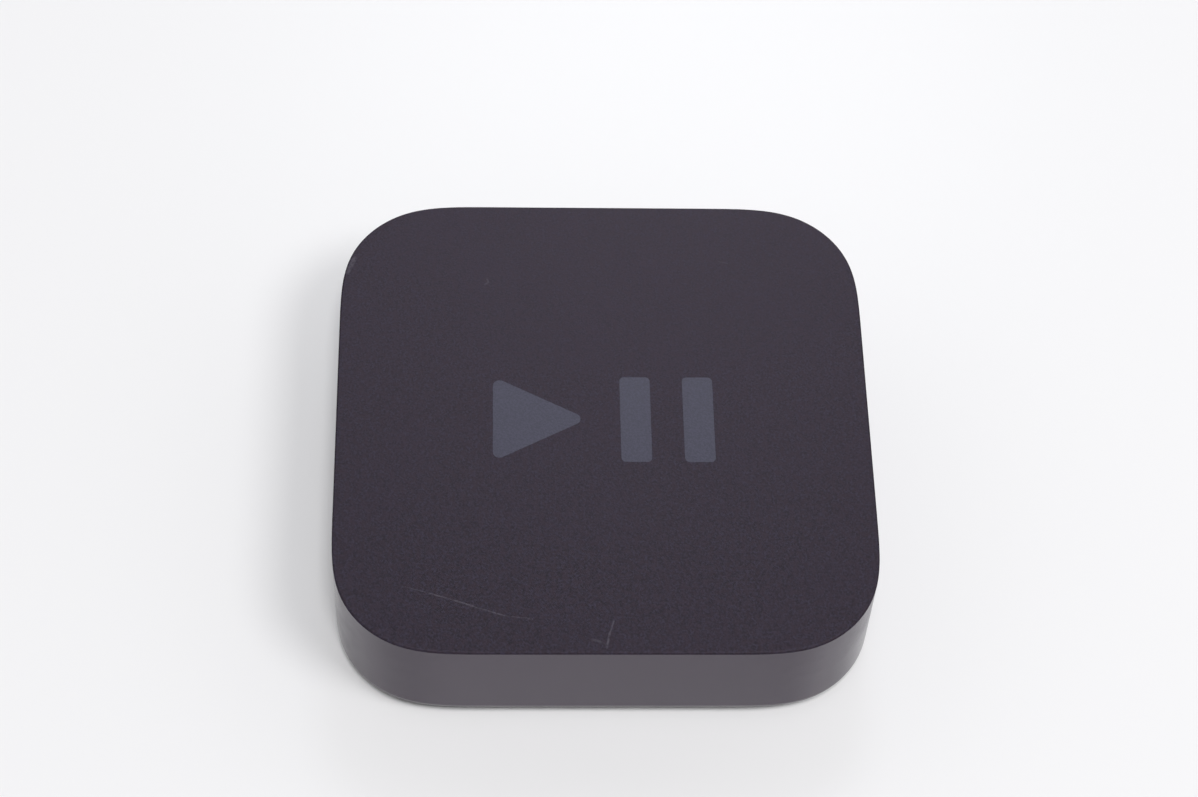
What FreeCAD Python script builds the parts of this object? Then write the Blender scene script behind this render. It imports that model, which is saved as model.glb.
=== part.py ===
"""Streaming media player: a low square box with its boards, power supply, sockets and sensors.

Units are millimetres. The origin is on the surface that the player stands on, under its centre.
+Z is up, the front with the status light faces -Y, and the sockets open towards +Y.
"""

import FreeCAD
import Part

import math
import os

from FreeCAD import Vector

# ---------------------------------------------------------------- driving dimensions

# case
CASE_SIDE = 98.0
CASE_TOP = 23.0
CASE_RIM = 2.0
CASE_CORNER = 20.0
CASE_WALL = 2.0
CEILING = 2.2
TOP_EDGE = 0.35
BOTTOM_EDGE = 1.8
LEDGE_WIDTH = 1.6
LEDGE_TOP = 3.5

# a corner curve starts this many radii from the sharp corner, and its inner poles lie at these shares
CORNER_REACH = 1.425
CORNER_HANDLE = 0.42
CORNER_PULL = 0.34

# bottom cover and foot
COVER_GAP = 0.2
COVER_BOTTOM = 0.9
COVER_THICK = 2.0
COVER_FLANGE_INSET = 2.4
HOOK_WIDTH = 8.0
HOOK_TOP = 5.6
HOOK_PLACE = 22.0
FOOT_SIDE = 84.0
FOOT_CORNER = 14.5
FOOT_THICK = 1.3
FOOT_FIELD_SIDE = 66.0
FOOT_FIELD_DEPTH = 0.35

# boards share one level; parts stand on the upper face or hang from the lower one
BOARD_THICK = 1.2
BOARD_LOW = 8.0
BOARD_HIGH = BOARD_LOW + BOARD_THICK
SPLIT_X = 13.5
BOARD_REAR = 44.5
BOARD_FRONT = -41.0
FRONT_STRIP_X = 29.0
FRONT_STRIP_Y = -30.0
NOTCH_GAP = 0.2

# sockets
PORT_FACE = 47.6
PORT_Z = 12.3
PORT_GAP = 0.25
HDMI_X = 5.5
OPTICAL_X = -9.5
ETHERNET_X = -25.0
INLET_X = 24.5

# screws: M2.5, star drive
SCREW_R = 1.2
SCREW_HEAD_R = 2.2
SCREW_HEAD = 1.4
SCREW_LENGTH = 7.0
PILOT_DEPTH = 8.0
SCREW_HOLE_R = 1.45
BOSS_R = 2.8
BOARD_SCREWS = [(-39.0, 25.0), (-39.0, -27.0), (8.5, 27.5), (8.5, -26.0), (-14.0, -37.0)]
POWER_SCREWS = [(41.0, 20.5), (19.6, -23.4)]

# heat spreader
SPREADER_LOW = 4.1
SPREADER_THICK = 1.5
SPREADER_X = (-34.0, 4.0)
SPREADER_Y = (-31.0, 26.0)

# printed mark on the top: a play triangle and two pause bars
MARK_HEIGHT = 18.6
MARK_DEPTH = 0.12
MARK_TRIANGLE = 17.4
MARK_BAR = 5.6
MARK_GAP = 6.0

# printed signs above the sockets
SIGN_Z = 20.6
SIGN_Y = (46.0, 50.0)
SIGN_DEPTH = 0.1

# derived levels
CAVITY_SIDE = CASE_SIDE - 2 * CASE_WALL
CAVITY_CORNER = CASE_CORNER - CASE_WALL
CAVITY_HALF = CAVITY_SIDE / 2
CAVITY_TOP = CASE_TOP - CEILING
OPENING_SIDE = CAVITY_SIDE - 2 * LEDGE_WIDTH
OPENING_CORNER = CAVITY_CORNER - LEDGE_WIDTH
COVER_TOP = COVER_BOTTOM + COVER_THICK
FOOT_RECESS = FOOT_THICK - COVER_BOTTOM

# processor and radio
PROCESSOR_X, PROCESSOR_Y = -15.0, 3.0
SHIELD_X = (-27.0, -3.0)
SHIELD_Y = (-20.0, 12.0)
SHIELD_HEIGHT = 1.7
WIRELESS_X, WIRELESS_Y = -31.0, -14.0
WIRELESS_SIZE = (15.0, 12.0)
WIRELESS_BOARD = 0.6

# front sensors
SENSOR_BOARD_X = (11.5, 34.5)
SENSOR_BOARD_Z = (9.0, 17.0)
SENSOR_FRONT = -44.6
SENSOR_REAR = -43.8
SLOT_GAP = 0.1
IR_X, LED_X, LED_Z = 21.0, 30.0, 13.0
PIPE_R = 0.9
LIGHT_SKIN = 0.6
RIBBON_X = 18.5
RIBBON_WIDTH = 6.0
CONNECTOR_Y = (-38.4, -34.6)

# HDMI and service USB sockets
HDMI_W, HDMI_H = 15.0, 5.7
HDMI_SHEET = 0.4
HDMI_REAR = 36.4
USB_W, USB_H = 7.8, 2.9
USB_SHEET = 0.3
USB_REAR = 42.0

# optical socket and its shutter
OPTICAL_SIZE = 9.6
OPTICAL_WALL = 0.7
OPTICAL_REAR = 33.6
OPTICAL_FLOOR = 38.4
FERRULE_R = 1.65
PIN_R = 0.4
SHUTTER_Y = 46.3
SHUTTER_THICK = 0.7
SHUTTER_HALF = 3.2
BARREL_R = 0.75
OPTICAL_TOP = PORT_Z + OPTICAL_SIZE / 2 - OPTICAL_WALL
OPTICAL_LOW = PORT_Z - OPTICAL_SIZE / 2 + OPTICAL_WALL
SHUTTER_Z = OPTICAL_TOP - BARREL_R - 0.15

# network socket
ETHERNET_W, ETHERNET_H = 15.4, 12.4
ETHERNET_REAR = 31.6
ETHERNET_SHEET = 0.3
PLUG_W, PLUG_H = 11.9, 6.9
PLUG_FLOOR = 34.6
PLUG_ROOF = PORT_Z + 4.2
CONTACT_PITCH = 1.02

# mains inlet
INLET_W, INLET_H = 18.6, 11.8
INLET_REAR = 30.0
INLET_SHOULDER = 45.6
INLET_FLOOR = 34.6
INLET_LOBE_R = 4.1
INLET_WALL = 0.9
PIN_PITCH = 8.6
MAINS_PIN_R = 1.2
MAINS_ROOT_R = 1.4
MAINS_PIN_TIP = 44.2

# power supply
POWER_X = (15.9, 44.4)
POWER_Y = (-27.5, 29.4)
TRANSFORMER = Vector(33.0, -8.0, 14.6)
CORE_SIZE = (17.0, 16.4, 5.0)
CAP_R, CAP_LENGTH = 4.9, 15.5
CAP_CENTRE = Vector(21.6, 2.4, 14.4)
PLUG_X = (23.6, 28.9)
LEAD_PITCH = 1.2
LEAD_R = 0.5
LEAD_Z = BOARD_HIGH + 2.2

# antennas
CARRIER_THICK = 1.4
CARRIER_Z = (12.2, 20.6)
SIDE_CARRIER_Y = (-18.0, 12.0)
FRONT_CARRIER_X = (-20.0, 6.0)
CARRIER_FACE = CAVITY_HALF - 0.2 - CARRIER_THICK
ELEMENT_THICK = 0.2

# axes, and how far a cutting shape runs past the faces it cuts
X_AXIS = Vector(1, 0, 0)
Y_AXIS = Vector(0, 1, 0)
Z_AXIS = Vector(0, 0, 1)
OVERCUT = 1.0


# ---------------------------------------------------------------- shape helpers


def box(x, y, z):
    """A box between the low and high value of each pair."""
    size = (x[1] - x[0], y[1] - y[0], z[1] - z[0])
    return Part.makeBox(*size, Vector(x[0], y[0], z[0]))


def around(middle, width):
    """The pair of values a width apart, centred on middle."""
    return (middle - width / 2, middle + width / 2)


def around_by(middle, pair):
    """The pair of values moved by middle."""
    return (middle + pair[0], middle + pair[1])


def rod(start, axis, radius, length):
    """A cylinder that starts at a point and runs along an axis."""
    return Part.makeCylinder(radius, length, Vector(*start), axis)


def joined(shapes):
    """One clean shape from several that touch or overlap."""
    first, *rest = shapes
    return first.fuse(rest).removeSplitter() if rest else first


def without(shape, tools):
    """The shape with every tool cut from it."""
    return shape.cut(tools).removeSplitter()


def group(shapes):
    """Separate solids that share one node."""
    return Part.makeCompound(shapes)


def rounded(shape, radius, axis):
    """The shape with its straight edges along an axis rounded."""
    edges = [e for e in shape.Edges if is_straight_along(e, axis)]
    return shape.makeFillet(radius, edges)


def is_straight_along(edge, axis):
    if not isinstance(edge.Curve, (Part.Line, Part.LineSegment)):
        return False
    run = edge.Vertexes[-1].Point - edge.Vertexes[0].Point
    return run.cross(axis).Length < 1e-6


def edges_at(shape, z):
    """The edges that lie wholly in the level plane at z."""
    return [e for e in shape.Edges if abs(e.BoundBox.ZMin - z) < 1e-4 and abs(e.BoundBox.ZMax - z) < 1e-4]


def outline_prism(points, extrusion):
    """A closed polygon of 3-D points, pushed along the extrusion vector."""
    corners = [Vector(*p) for p in points]
    return Part.Face(Part.makePolygon(corners + corners[:1])).extrude(extrusion)


def prism_along_y(points, y):
    """A polygon of (x, z) points between two y values."""
    return outline_prism([(px, y[0], pz) for px, pz in points], Y_AXIS * (y[1] - y[0]))


def prism_along_x(points, x):
    """A polygon of (y, z) points between two x values."""
    return outline_prism([(x[0], py, pz) for py, pz in points], X_AXIS * (x[1] - x[0]))


def rounded_square(side, corner, z):
    """A prism whose square outline has corners of continuous curvature, between two z values."""
    half = side / 2
    reach, handle, pull = (corner * CORNER_REACH * share for share in (1, CORNER_HANDLE, CORNER_PULL))
    run_in = [Vector(half, half - d, z[0]) for d in (reach, handle, pull)]
    run_out = [Vector(half - d, half, z[0]) for d in (pull, handle, reach)]
    edges = []
    for turn in (0, 90, 180, 270):
        curve = Part.BezierCurve()
        curve.setPoles(run_in + run_out)
        corner_edge = curve.toShape()
        corner_edge.rotate(Vector(), Z_AXIS, turn)
        straight = Part.makeLine(Vector(half - reach, half, z[0]), Vector(reach - half, half, z[0]))
        straight.rotate(Vector(), Z_AXIS, turn)
        edges += [corner_edge, straight]
    face = Part.Face(Part.Wire(Part.__sortEdges__(edges)))
    return face.extrude(Z_AXIS * (z[1] - z[0]))


def rounded_route(points, radius):
    """A wire of straight runs joined by tangent arcs."""
    corners = [Vector(*p) for p in points]
    edges, last = [], corners[0]
    for before, here, after in zip(corners, corners[1:], corners[2:]):
        a, b = (before - here).normalize(), (after - here).normalize()
        half_angle = a.getAngle(b) / 2
        setback = radius / math.tan(half_angle)
        middle = here + (a + b).normalize() * (radius / math.sin(half_angle) - radius)
        start, end = here + a * setback, here + b * setback
        edges += [Part.makeLine(last, start), Part.Arc(start, middle, end).toShape()]
        last = end
    return Part.Wire(edges + [Part.makeLine(last, corners[-1])])


def cable(points, bend, radius):
    """A round cable along a route."""
    route = rounded_route(points, bend)
    start, towards = Vector(*points[0]), Vector(*points[1])
    section = Part.Wire(Part.makeCircle(radius, start, towards - start))
    return route.makePipeShell([section], True, False)


def chip(x, y, size, on_top=True):
    """A flat component centred on x, y, on the upper or the lower face of a board."""
    width, depth, height = size
    z = (BOARD_HIGH, BOARD_HIGH + height) if on_top else (BOARD_LOW - height, BOARD_LOW)
    return box(around(x, width), around(y, depth), z)


def can(x, y, z, thick, open_up):
    """A drawn sheet-metal box, open above or below."""
    inner_z = (z[0] + thick, z[1] + OVERCUT) if open_up else (z[0] - OVERCUT, z[1] - thick)
    hollow = box((x[0] + thick, x[1] - thick), (y[0] + thick, y[1] - thick), inner_z)
    return without(rounded(box(x, y, z), 2 * thick, Z_AXIS), [hollow])


# ---------------------------------------------------------------- enclosure


def mark_prisms(z):
    """The play triangle and the pause bars as prisms with softened corners."""
    width = MARK_TRIANGLE + 2 * MARK_GAP + 2 * MARK_BAR
    left, low, high = -width / 2, -MARK_HEIGHT / 2, MARK_HEIGHT / 2
    tip = left + MARK_TRIANGLE
    corners = [(left, low, z[0]), (tip, 0, z[0]), (left, high, z[0])]
    triangle = outline_prism(corners, Z_AXIS * (z[1] - z[0]))
    shapes = [rounded(triangle, 1.2, Z_AXIS)]
    for i in range(2):
        start = tip + MARK_GAP + i * (MARK_BAR + MARK_GAP)
        shapes.append(rounded(box((start, start + MARK_BAR), (low, high), z), 0.9, Z_AXIS))
    return shapes


def top_mark():
    return group(mark_prisms((CASE_TOP - MARK_DEPTH, CASE_TOP)))


def linked_squares():
    """The network sign: one small square above two others, joined by lines."""
    squares = [(0.0, 0.6), (-0.9, -0.6), (0.9, -0.6)]
    bars = [
        ((-0.08, 0.08), (-0.6, 0.6)),
        ((-0.98, 0.98), (-0.08, 0.08)),
        ((-0.98, -0.82), (-0.6, 0.0)),
        ((0.82, 0.98), (-0.6, 0.0)),
    ]
    bars += [(around(x, 0.7), around(z, 0.6)) for x, z in squares]
    return joined([box(around_by(ETHERNET_X, x), SIGN_Y, around_by(SIGN_Z, z)) for x, z in bars])


def ringed_dot():
    """The optical sign: a dot in a ring."""
    radii = (0.95, 0.7, 0.3)
    ring, hole, dot = (rod((OPTICAL_X, SIGN_Y[0], SIGN_Z), Y_AXIS, r, SIGN_Y[1] - SIGN_Y[0]) for r in radii)
    return group([ring.cut(hole), dot])


def screen_frame():
    """The video sign: a screen's outline on a short foot."""
    outer = rounded(box(around(HDMI_X, 2.8), SIGN_Y, around(SIGN_Z + 0.15, 1.7)), 0.3, Y_AXIS)
    inner = box(around(HDMI_X, 2.3), SIGN_Y, around(SIGN_Z + 0.15, 1.2))
    return group([outer.cut(inner), box(around(HDMI_X, 1.3), SIGN_Y, around(SIGN_Z - 1.0, 0.22))])


def wave():
    """The mains sign: one wave of two half rings."""
    halves = []
    for side in (-1, 1):
        x = INLET_X + side * 0.62
        outer, inner = (rod((x, SIGN_Y[0], SIGN_Z), Y_AXIS, r, SIGN_Y[1] - SIGN_Y[0]) for r in (0.74, 0.5))
        keep = box(around(x, 2.0), SIGN_Y, tuple(sorted((SIGN_Z, SIGN_Z - side * 1.0))))
        halves.append(outer.cut(inner).common(keep))
    return joined(halves)


def port_symbols():
    """Four small signs printed above the sockets, flush with the rear wall's curved skin."""
    z = (CASE_RIM, CASE_TOP)
    core = rounded_square(CASE_SIDE - 2 * SIGN_DEPTH, CASE_CORNER - SIGN_DEPTH, z)
    skin = rounded_square(CASE_SIDE, CASE_CORNER, z).cut(core)
    signs = [linked_squares(), ringed_dot(), screen_frame(), wave()]
    return group([solid for sign in signs for solid in sign.common(skin).Solids])


def screw_boss(x, y, fins):
    """A boss that hangs from the ceiling to the board, with fins at its root."""
    parts = [rod((x, y, BOARD_HIGH), Z_AXIS, BOSS_R, CAVITY_TOP - BOARD_HIGH + CEILING / 2)]
    fin_z = (CAVITY_TOP - 4.0, CAVITY_TOP + CEILING / 2)
    if fins:
        parts.append(box(around(x, 10.0), around(y, 0.9), fin_z))
        parts.append(box(around(x, 0.9), around(y, 10.0), fin_z))
    return joined(parts)


def sensor_rails():
    """Two slotted ribs on the front wall that hold the edges of the sensor board."""
    y = (-CAVITY_HALF - CASE_WALL / 2, SENSOR_REAR + 1.0)
    z = (SENSOR_BOARD_Z[0], CAVITY_TOP + CEILING / 2)
    return [box(around(x, 2.6), y, z) for x in SENSOR_BOARD_X]


def sensor_slot():
    """The space that the sensor board slides up into, a little thicker than the board."""
    x = (SENSOR_BOARD_X[0] - SLOT_GAP, SENSOR_BOARD_X[1] + SLOT_GAP)
    y = (SENSOR_FRONT - SLOT_GAP, SENSOR_REAR + SLOT_GAP)
    return box(x, y, (SENSOR_BOARD_Z[0] - OVERCUT, SENSOR_BOARD_Z[1] + SLOT_GAP))


def figure_eight(radius, y):
    """The two-lobed section of the mains inlet, centred on the inlet's axis."""
    lobes = [rod((INLET_X + s * PIN_PITCH / 2, y[0], PORT_Z), Y_AXIS, radius, y[1] - y[0]) for s in (-1, 1)]
    waist = box(around(INLET_X, PIN_PITCH), y, around(PORT_Z, 1.3 * radius))
    return joined(lobes + [waist])


def port_cutouts():
    """The holes in the rear wall, each a little larger than the socket that stands in it."""
    y = (CAVITY_HALF - 4.0, CASE_SIDE / 2 + OVERCUT)
    gap = 2 * PORT_GAP
    ethernet = box(around(ETHERNET_X, ETHERNET_W + gap), y, around(PORT_Z, ETHERNET_H + gap))
    optical = box(around(OPTICAL_X, OPTICAL_SIZE + gap), y, around(PORT_Z, OPTICAL_SIZE + gap))
    usb = prism_along_y(usb_outline(PORT_GAP), y)
    hdmi = prism_along_y(hdmi_outline(PORT_GAP), y)
    return [
        rounded(ethernet, 0.8, Y_AXIS),
        rounded(optical, 0.8, Y_AXIS),
        hdmi,
        usb,
        figure_eight(INLET_LOBE_R + INLET_WALL + PORT_GAP, y),
    ]


def top_case():
    """The one-piece upper shell: matt roof, polished walls, screw bosses, rails and socket holes."""
    body = rounded_square(CASE_SIDE, CASE_CORNER, (CASE_RIM, CASE_TOP))
    body = body.makeFillet(TOP_EDGE, edges_at(body, CASE_TOP))
    body = body.makeFillet(BOTTOM_EDGE, edges_at(body, CASE_RIM))
    cavity = rounded_square(CAVITY_SIDE, CAVITY_CORNER, (LEDGE_TOP, CAVITY_TOP))
    opening = rounded_square(OPENING_SIDE, OPENING_CORNER, (CASE_RIM - OVERCUT, LEDGE_TOP + OVERCUT))
    shell = body.cut([cavity, opening])
    bosses = [screw_boss(x, y, True) for x, y in BOARD_SCREWS]
    bosses += [screw_boss(x, y, False) for x, y in POWER_SCREWS]
    rib_places = around(INLET_X, INLET_W + 1.6)
    rib_z = (BOARD_HIGH, CAVITY_TOP + CEILING / 2)
    inlet_ribs = [box(around(x, 1.2), (34.0, CAVITY_HALF), rib_z) for x in rib_places]
    trim = rounded_square(CASE_SIDE - CASE_WALL, CASE_CORNER - 1.0, (CASE_RIM, CASE_TOP - CEILING / 2))
    inside = joined(bosses + inlet_ribs + sensor_rails()).common(trim)
    shell = joined([shell, inside])
    screws = BOARD_SCREWS + POWER_SCREWS
    pilots = [rod((x, y, BOARD_HIGH - OVERCUT), Z_AXIS, SCREW_R, PILOT_DEPTH + OVERCUT) for x, y in screws]
    pocket_depth = OVERCUT + CASE_WALL - LIGHT_SKIN
    light_pocket = rod((LED_X, -CAVITY_HALF + OVERCUT, LED_Z), -Y_AXIS, PIPE_R + 0.1, pocket_depth)
    cuts = pilots + [light_pocket, sensor_slot(), port_symbols()] + port_cutouts()
    return without(shell, cuts + mark_prisms((CASE_TOP - MARK_DEPTH, CASE_TOP + OVERCUT)))


def cover_hook(turn, side):
    """A snap hook on one edge of the cover: an upright with a barb that catches above the case's ledge."""
    inner = OPENING_SIDE / 2 - COVER_GAP - 1.4
    face = OPENING_SIDE / 2 - COVER_GAP
    reach = OPENING_SIDE / 2 + 0.55
    catch = LEDGE_TOP + 0.1
    profile = [
        (inner, COVER_TOP - 0.2),
        (face, COVER_TOP - 0.2),
        (face, catch),
        (reach, catch),
        (reach, catch + 0.4),
        (face - 0.3, HOOK_TOP),
        (inner, HOOK_TOP),
    ]
    hook = prism_along_x(profile, around(side * HOOK_PLACE, HOOK_WIDTH))
    hook.rotate(Vector(), Z_AXIS, turn)
    return hook


def bottom_cover():
    """The plate that closes the case from below, with an upstand, stiffening ribs and snap hooks."""
    plug_side = OPENING_SIDE - 2 * COVER_GAP
    plug_corner = OPENING_CORNER - COVER_GAP
    flange_side = CASE_SIDE - 2 * COVER_FLANGE_INSET
    flange = rounded_square(flange_side, CASE_CORNER - COVER_FLANGE_INSET, (COVER_BOTTOM, CASE_RIM - 0.1))
    flange = flange.makeFillet(0.4, edges_at(flange, COVER_BOTTOM))
    plug = rounded_square(plug_side, plug_corner, (CASE_RIM - 0.1, COVER_TOP))
    upstand = rounded_square(plug_side, plug_corner, (COVER_TOP, COVER_TOP + 1.2))
    inside = rounded_square(plug_side - 2.4, plug_corner - 1.2, (COVER_TOP, COVER_TOP + 1.2 + OVERCUT))
    rib_z = (COVER_TOP - 0.2, COVER_TOP + 0.7)
    reach = plug_side - 2.0
    ribs = [box(around(0, reach), around(place, 0.8), rib_z) for place in (-24.0, 0.0, 24.0)]
    ribs += [box(around(place, 0.8), around(0, reach), rib_z) for place in (-24.0, 0.0, 24.0)]
    hooks = [cover_hook(turn, side) for turn in (0, 90, 180, 270) for side in (-1, 1)]
    plate = joined([flange, plug, upstand.cut(inside)] + ribs + hooks)
    seat = rounded_square(FOOT_SIDE + 0.2, FOOT_CORNER + 0.1, (0, COVER_BOTTOM + FOOT_RECESS))
    return without(plate, [seat])


def rubber_foot():
    """A moulded pad bonded in the cover's seat; only its raised rim meets the table."""
    pad = rounded_square(FOOT_SIDE, FOOT_CORNER, (0, FOOT_THICK))
    pad = pad.makeFillet(0.35, edges_at(pad, 0))
    field = rounded_square(FOOT_FIELD_SIDE, FOOT_CORNER - 4.0, (-OVERCUT, FOOT_FIELD_DEPTH))
    return without(pad, [field])


# ---------------------------------------------------------------- main board


def board_screw_holes(places):
    length = BOARD_THICK + 2 * OVERCUT
    return [rod((x, y, BOARD_LOW - OVERCUT), Z_AXIS, SCREW_HOLE_R, length) for x, y in places]


def main_board():
    """An L-shaped circuit board, notched for the sunk optical and network sockets."""
    left = -BOARD_REAR
    z = (BOARD_LOW, BOARD_HIGH)
    field = box((left, SPLIT_X), (BOARD_FRONT, BOARD_REAR), z)
    strip = box((left, FRONT_STRIP_X), (BOARD_FRONT, FRONT_STRIP_Y), z)
    limit = rounded_square(2 * BOARD_REAR + 1.0, CAVITY_CORNER - 2.0, z)
    blank = joined([field, strip]).common(limit)
    sunk = [(OPTICAL_X, OPTICAL_SIZE, OPTICAL_REAR), (ETHERNET_X, ETHERNET_W, ETHERNET_REAR)]
    notch_z = (BOARD_LOW - OVERCUT, BOARD_HIGH + OVERCUT)
    notches = [
        box(around(x, width + 2 * NOTCH_GAP), (rear - NOTCH_GAP, BOARD_REAR + OVERCUT), notch_z)
        for x, width, rear in sunk
    ]
    return without(blank, notches + board_screw_holes(BOARD_SCREWS))


def processor():
    base = chip(PROCESSOR_X, PROCESSOR_Y, (14.0, 14.0, 0.5), on_top=False)
    lid = box(around(PROCESSOR_X, 12.6), around(PROCESSOR_Y, 12.6), (BOARD_LOW - 1.0, BOARD_LOW - 0.5))
    return joined([base, lid])


def memory_chips():
    """Working memory beside the processor, and flash storage outside the shield."""
    places = [(-15.0, -13.0, 12.0, 10.0), (-31.2, 11.0, 7.5, 11.0)]
    return group([chip(x, y, (w, d, 0.95), on_top=False) for x, y, w, d in places])


def processor_shield():
    z = (BOARD_LOW - SHIELD_HEIGHT, BOARD_LOW)
    shell = can(SHIELD_X, SHIELD_Y, z, 0.25, open_up=True)
    vents = [
        rod((x, -18.0, z[0] - OVERCUT), Z_AXIS, 0.6, 2 * OVERCUT)
        for x in (SHIELD_X[0] + 3 + 2.6 * i for i in range(8))
    ]
    return without(shell, vents)


def thermal_pads():
    """A soft pad from the processor to its shield, and one from the shield to the heat spreader."""
    shield_low = BOARD_LOW - SHIELD_HEIGHT
    inner = box(around(PROCESSOR_X, 11.0), around(PROCESSOR_Y, 11.0), (shield_low + 0.25, BOARD_LOW - 1.0))
    outer_z = (SPREADER_LOW + SPREADER_THICK, shield_low)
    return group([inner, box(around(PROCESSOR_X, 18.0), around(PROCESSOR_Y, 16.0), outer_z)])


def spreader_ear(x, y):
    """A stepped ear that carries a screw hole up to the board, with its riser and a bridge to the plate."""
    step = SPREADER_THICK
    ear_z = (BOARD_LOW - step, BOARD_LOW)
    riser_z = (SPREADER_LOW, BOARD_LOW)
    near_x = min(max(x, SPREADER_X[0]), SPREADER_X[1])
    near_y = min(max(y, SPREADER_Y[0]), SPREADER_Y[1])
    pad = rounded(box(around(x, 8.0), around(y, 8.0), ear_z), 2.0, Z_AXIS)
    if near_x == x:
        side = math.copysign(1, y - near_y)
        edge = y - side * 4.0
        lower = sorted((near_y - side * step, edge))
        riser = box(around(x, 6.0), tuple(sorted((edge, edge + side * step))), riser_z)
        bridge = box(around(x, 6.0), tuple(lower), (SPREADER_LOW, SPREADER_LOW + step))
    else:
        side = math.copysign(1, x - near_x)
        edge = x - side * 4.0
        lower = sorted((near_x - side * step, edge))
        y_pair = around(min(max(y, SPREADER_Y[0] + 3.0), SPREADER_Y[1] - 3.0), 6.0)
        riser = box(tuple(sorted((edge, edge + side * step))), y_pair, riser_z)
        bridge = box(tuple(lower), y_pair, (SPREADER_LOW, SPREADER_LOW + step))
    return joined([pad, riser, bridge])


def heat_spreader():
    """A stamped aluminium plate under the main board, held by the board's own screws."""
    plate = box(SPREADER_X, SPREADER_Y, (SPREADER_LOW, SPREADER_LOW + SPREADER_THICK))
    plate = rounded(plate, 3.0, Z_AXIS)
    body = joined([plate] + [spreader_ear(x, y) for x, y in BOARD_SCREWS])
    holes = [rod((x, y, SPREADER_LOW - OVERCUT), Z_AXIS, SCREW_HOLE_R, 6.0) for x, y in BOARD_SCREWS]
    slots = [
        rounded(box((-30.0, -22.0), around(y, 2.0), (SPREADER_LOW - OVERCUT, BOARD_LOW)), 0.9, Z_AXIS)
        for y in (-18.0, -12.0, -6.0)
    ]
    return without(body, holes + slots)


def wireless_module():
    """A small radio board with its chips, soldered flat on the main board."""
    base = chip(WIRELESS_X, WIRELESS_Y, (*WIRELESS_SIZE, WIRELESS_BOARD))
    z = (BOARD_HIGH + WIRELESS_BOARD, BOARD_HIGH + WIRELESS_BOARD + 0.8)
    radio = box(around(WIRELESS_X - 2.5, 6.0), around(WIRELESS_Y, 6.0), z)
    front_end = box(around(WIRELESS_X + 3.4, 3.0), around(WIRELESS_Y, 4.0), z)
    sockets = [rod((x, y, z[0]), Z_AXIS, 1.0, 0.9) for x, y in antenna_sockets()]
    return joined([base, radio, front_end] + sockets)


def antenna_sockets():
    """The two coaxial sockets at the module's front edge, as x, y places."""
    return [(WIRELESS_X - 4.0, WIRELESS_Y - 4.6), (WIRELESS_X + 4.0, WIRELESS_Y - 4.6)]


def wireless_shield():
    low = BOARD_HIGH + WIRELESS_BOARD
    x = around(WIRELESS_X, WIRELESS_SIZE[0] - 0.8)
    y = (WIRELESS_Y - 3.3, WIRELESS_Y + WIRELESS_SIZE[1] / 2 - 0.4)
    return can(x, y, (low, low + 1.6), 0.2, open_up=False)


def controller_chips():
    """The power manager, network, picture and sound chips on the upper face."""
    places = [
        (-1.0, -14.0, 7.0, 7.0),
        (-33.5, 12.0, 6.0, 6.0),
        (4.0, 18.0, 6.0, 6.0),
        (-8.0, 17.0, 4.5, 4.5),
        (-20.0, -30.0, 5.0, 4.0),
        (-12.0, 27.0, 3.4, 3.4),
    ]
    return group([chip(x, y, (w, d, 0.9)) for x, y, w, d in places])


def power_coils():
    """Moulded inductors around the power manager."""
    places = [(-9.0, -18.0), (-9.0, -11.0), (7.5, -17.0), (7.5, -10.0), (-1.0, -22.5)]
    return group([rounded(chip(x, y, (5.2, 5.0, 3.0)), 0.7, Z_AXIS) for x, y in places])


def can_capacitor(x, y, radius, height):
    """An aluminium can capacitor standing on the upper face, with its crimp groove."""
    body = rod((x, y, BOARD_HIGH), Z_AXIS, radius, height)
    body = body.makeFillet(0.5, edges_at(body, BOARD_HIGH + height))
    groove = Part.makeTorus(radius + 0.25, 0.6, Vector(x, y, BOARD_HIGH + 1.9), Z_AXIS)
    return body.cut(groove)


def board_capacitors():
    places = [(-2.0, -33.0), (6.0, -34.5), (-22.6, -36.6)]
    return group([can_capacitor(x, y, 3.0, 5.8) for x, y in places])


def ceramic_capacitors():
    """Rows of ceramic chips beside the processor's power pins and the radio."""
    across, along = 2.4, 2.2
    places = [(-24.0 + across * i, y) for y in (-2.0, 8.0) for i in range(10)]
    places += [(-37.5, -6.0 + along * i) for i in range(6)]
    places += [(11.5, -20.0 + along * i) for i in range(8)]
    return group([chip(x, y, (1.6, 0.8, 0.8)) for x, y in places])


def crystals():
    places = [(-14.0, 13.0, 3.2, 2.5), (-20.4, -14.0, 2.5, 2.0), (-27.0, 12.5, 3.2, 2.5)]
    return group([rounded(chip(x, y, (w, d, 0.8)), 0.3, Z_AXIS) for x, y, w, d in places])


def ethernet_magnetics():
    """The network isolation transformer in its black block, with gull-wing legs down both sides."""
    y, body_z = 23.0, (BOARD_HIGH + 0.3, BOARD_HIGH + 4.6)
    body = rounded(box(around(ETHERNET_X, 12.6), around(y, 8.4), body_z), 0.4, Z_AXIS)
    leg_z = (BOARD_HIGH, BOARD_HIGH + 0.35)
    legs = [
        box(around(ETHERNET_X - 4.45 + 1.27 * i, 0.45), around(y + side * 4.9, 1.4), leg_z)
        for side in (-1, 1)
        for i in range(8)
    ]
    return joined([body] + legs)


# ---------------------------------------------------------------- front sensors


def sensor_board():
    return box(SENSOR_BOARD_X, (SENSOR_FRONT, SENSOR_REAR), SENSOR_BOARD_Z)


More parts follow.
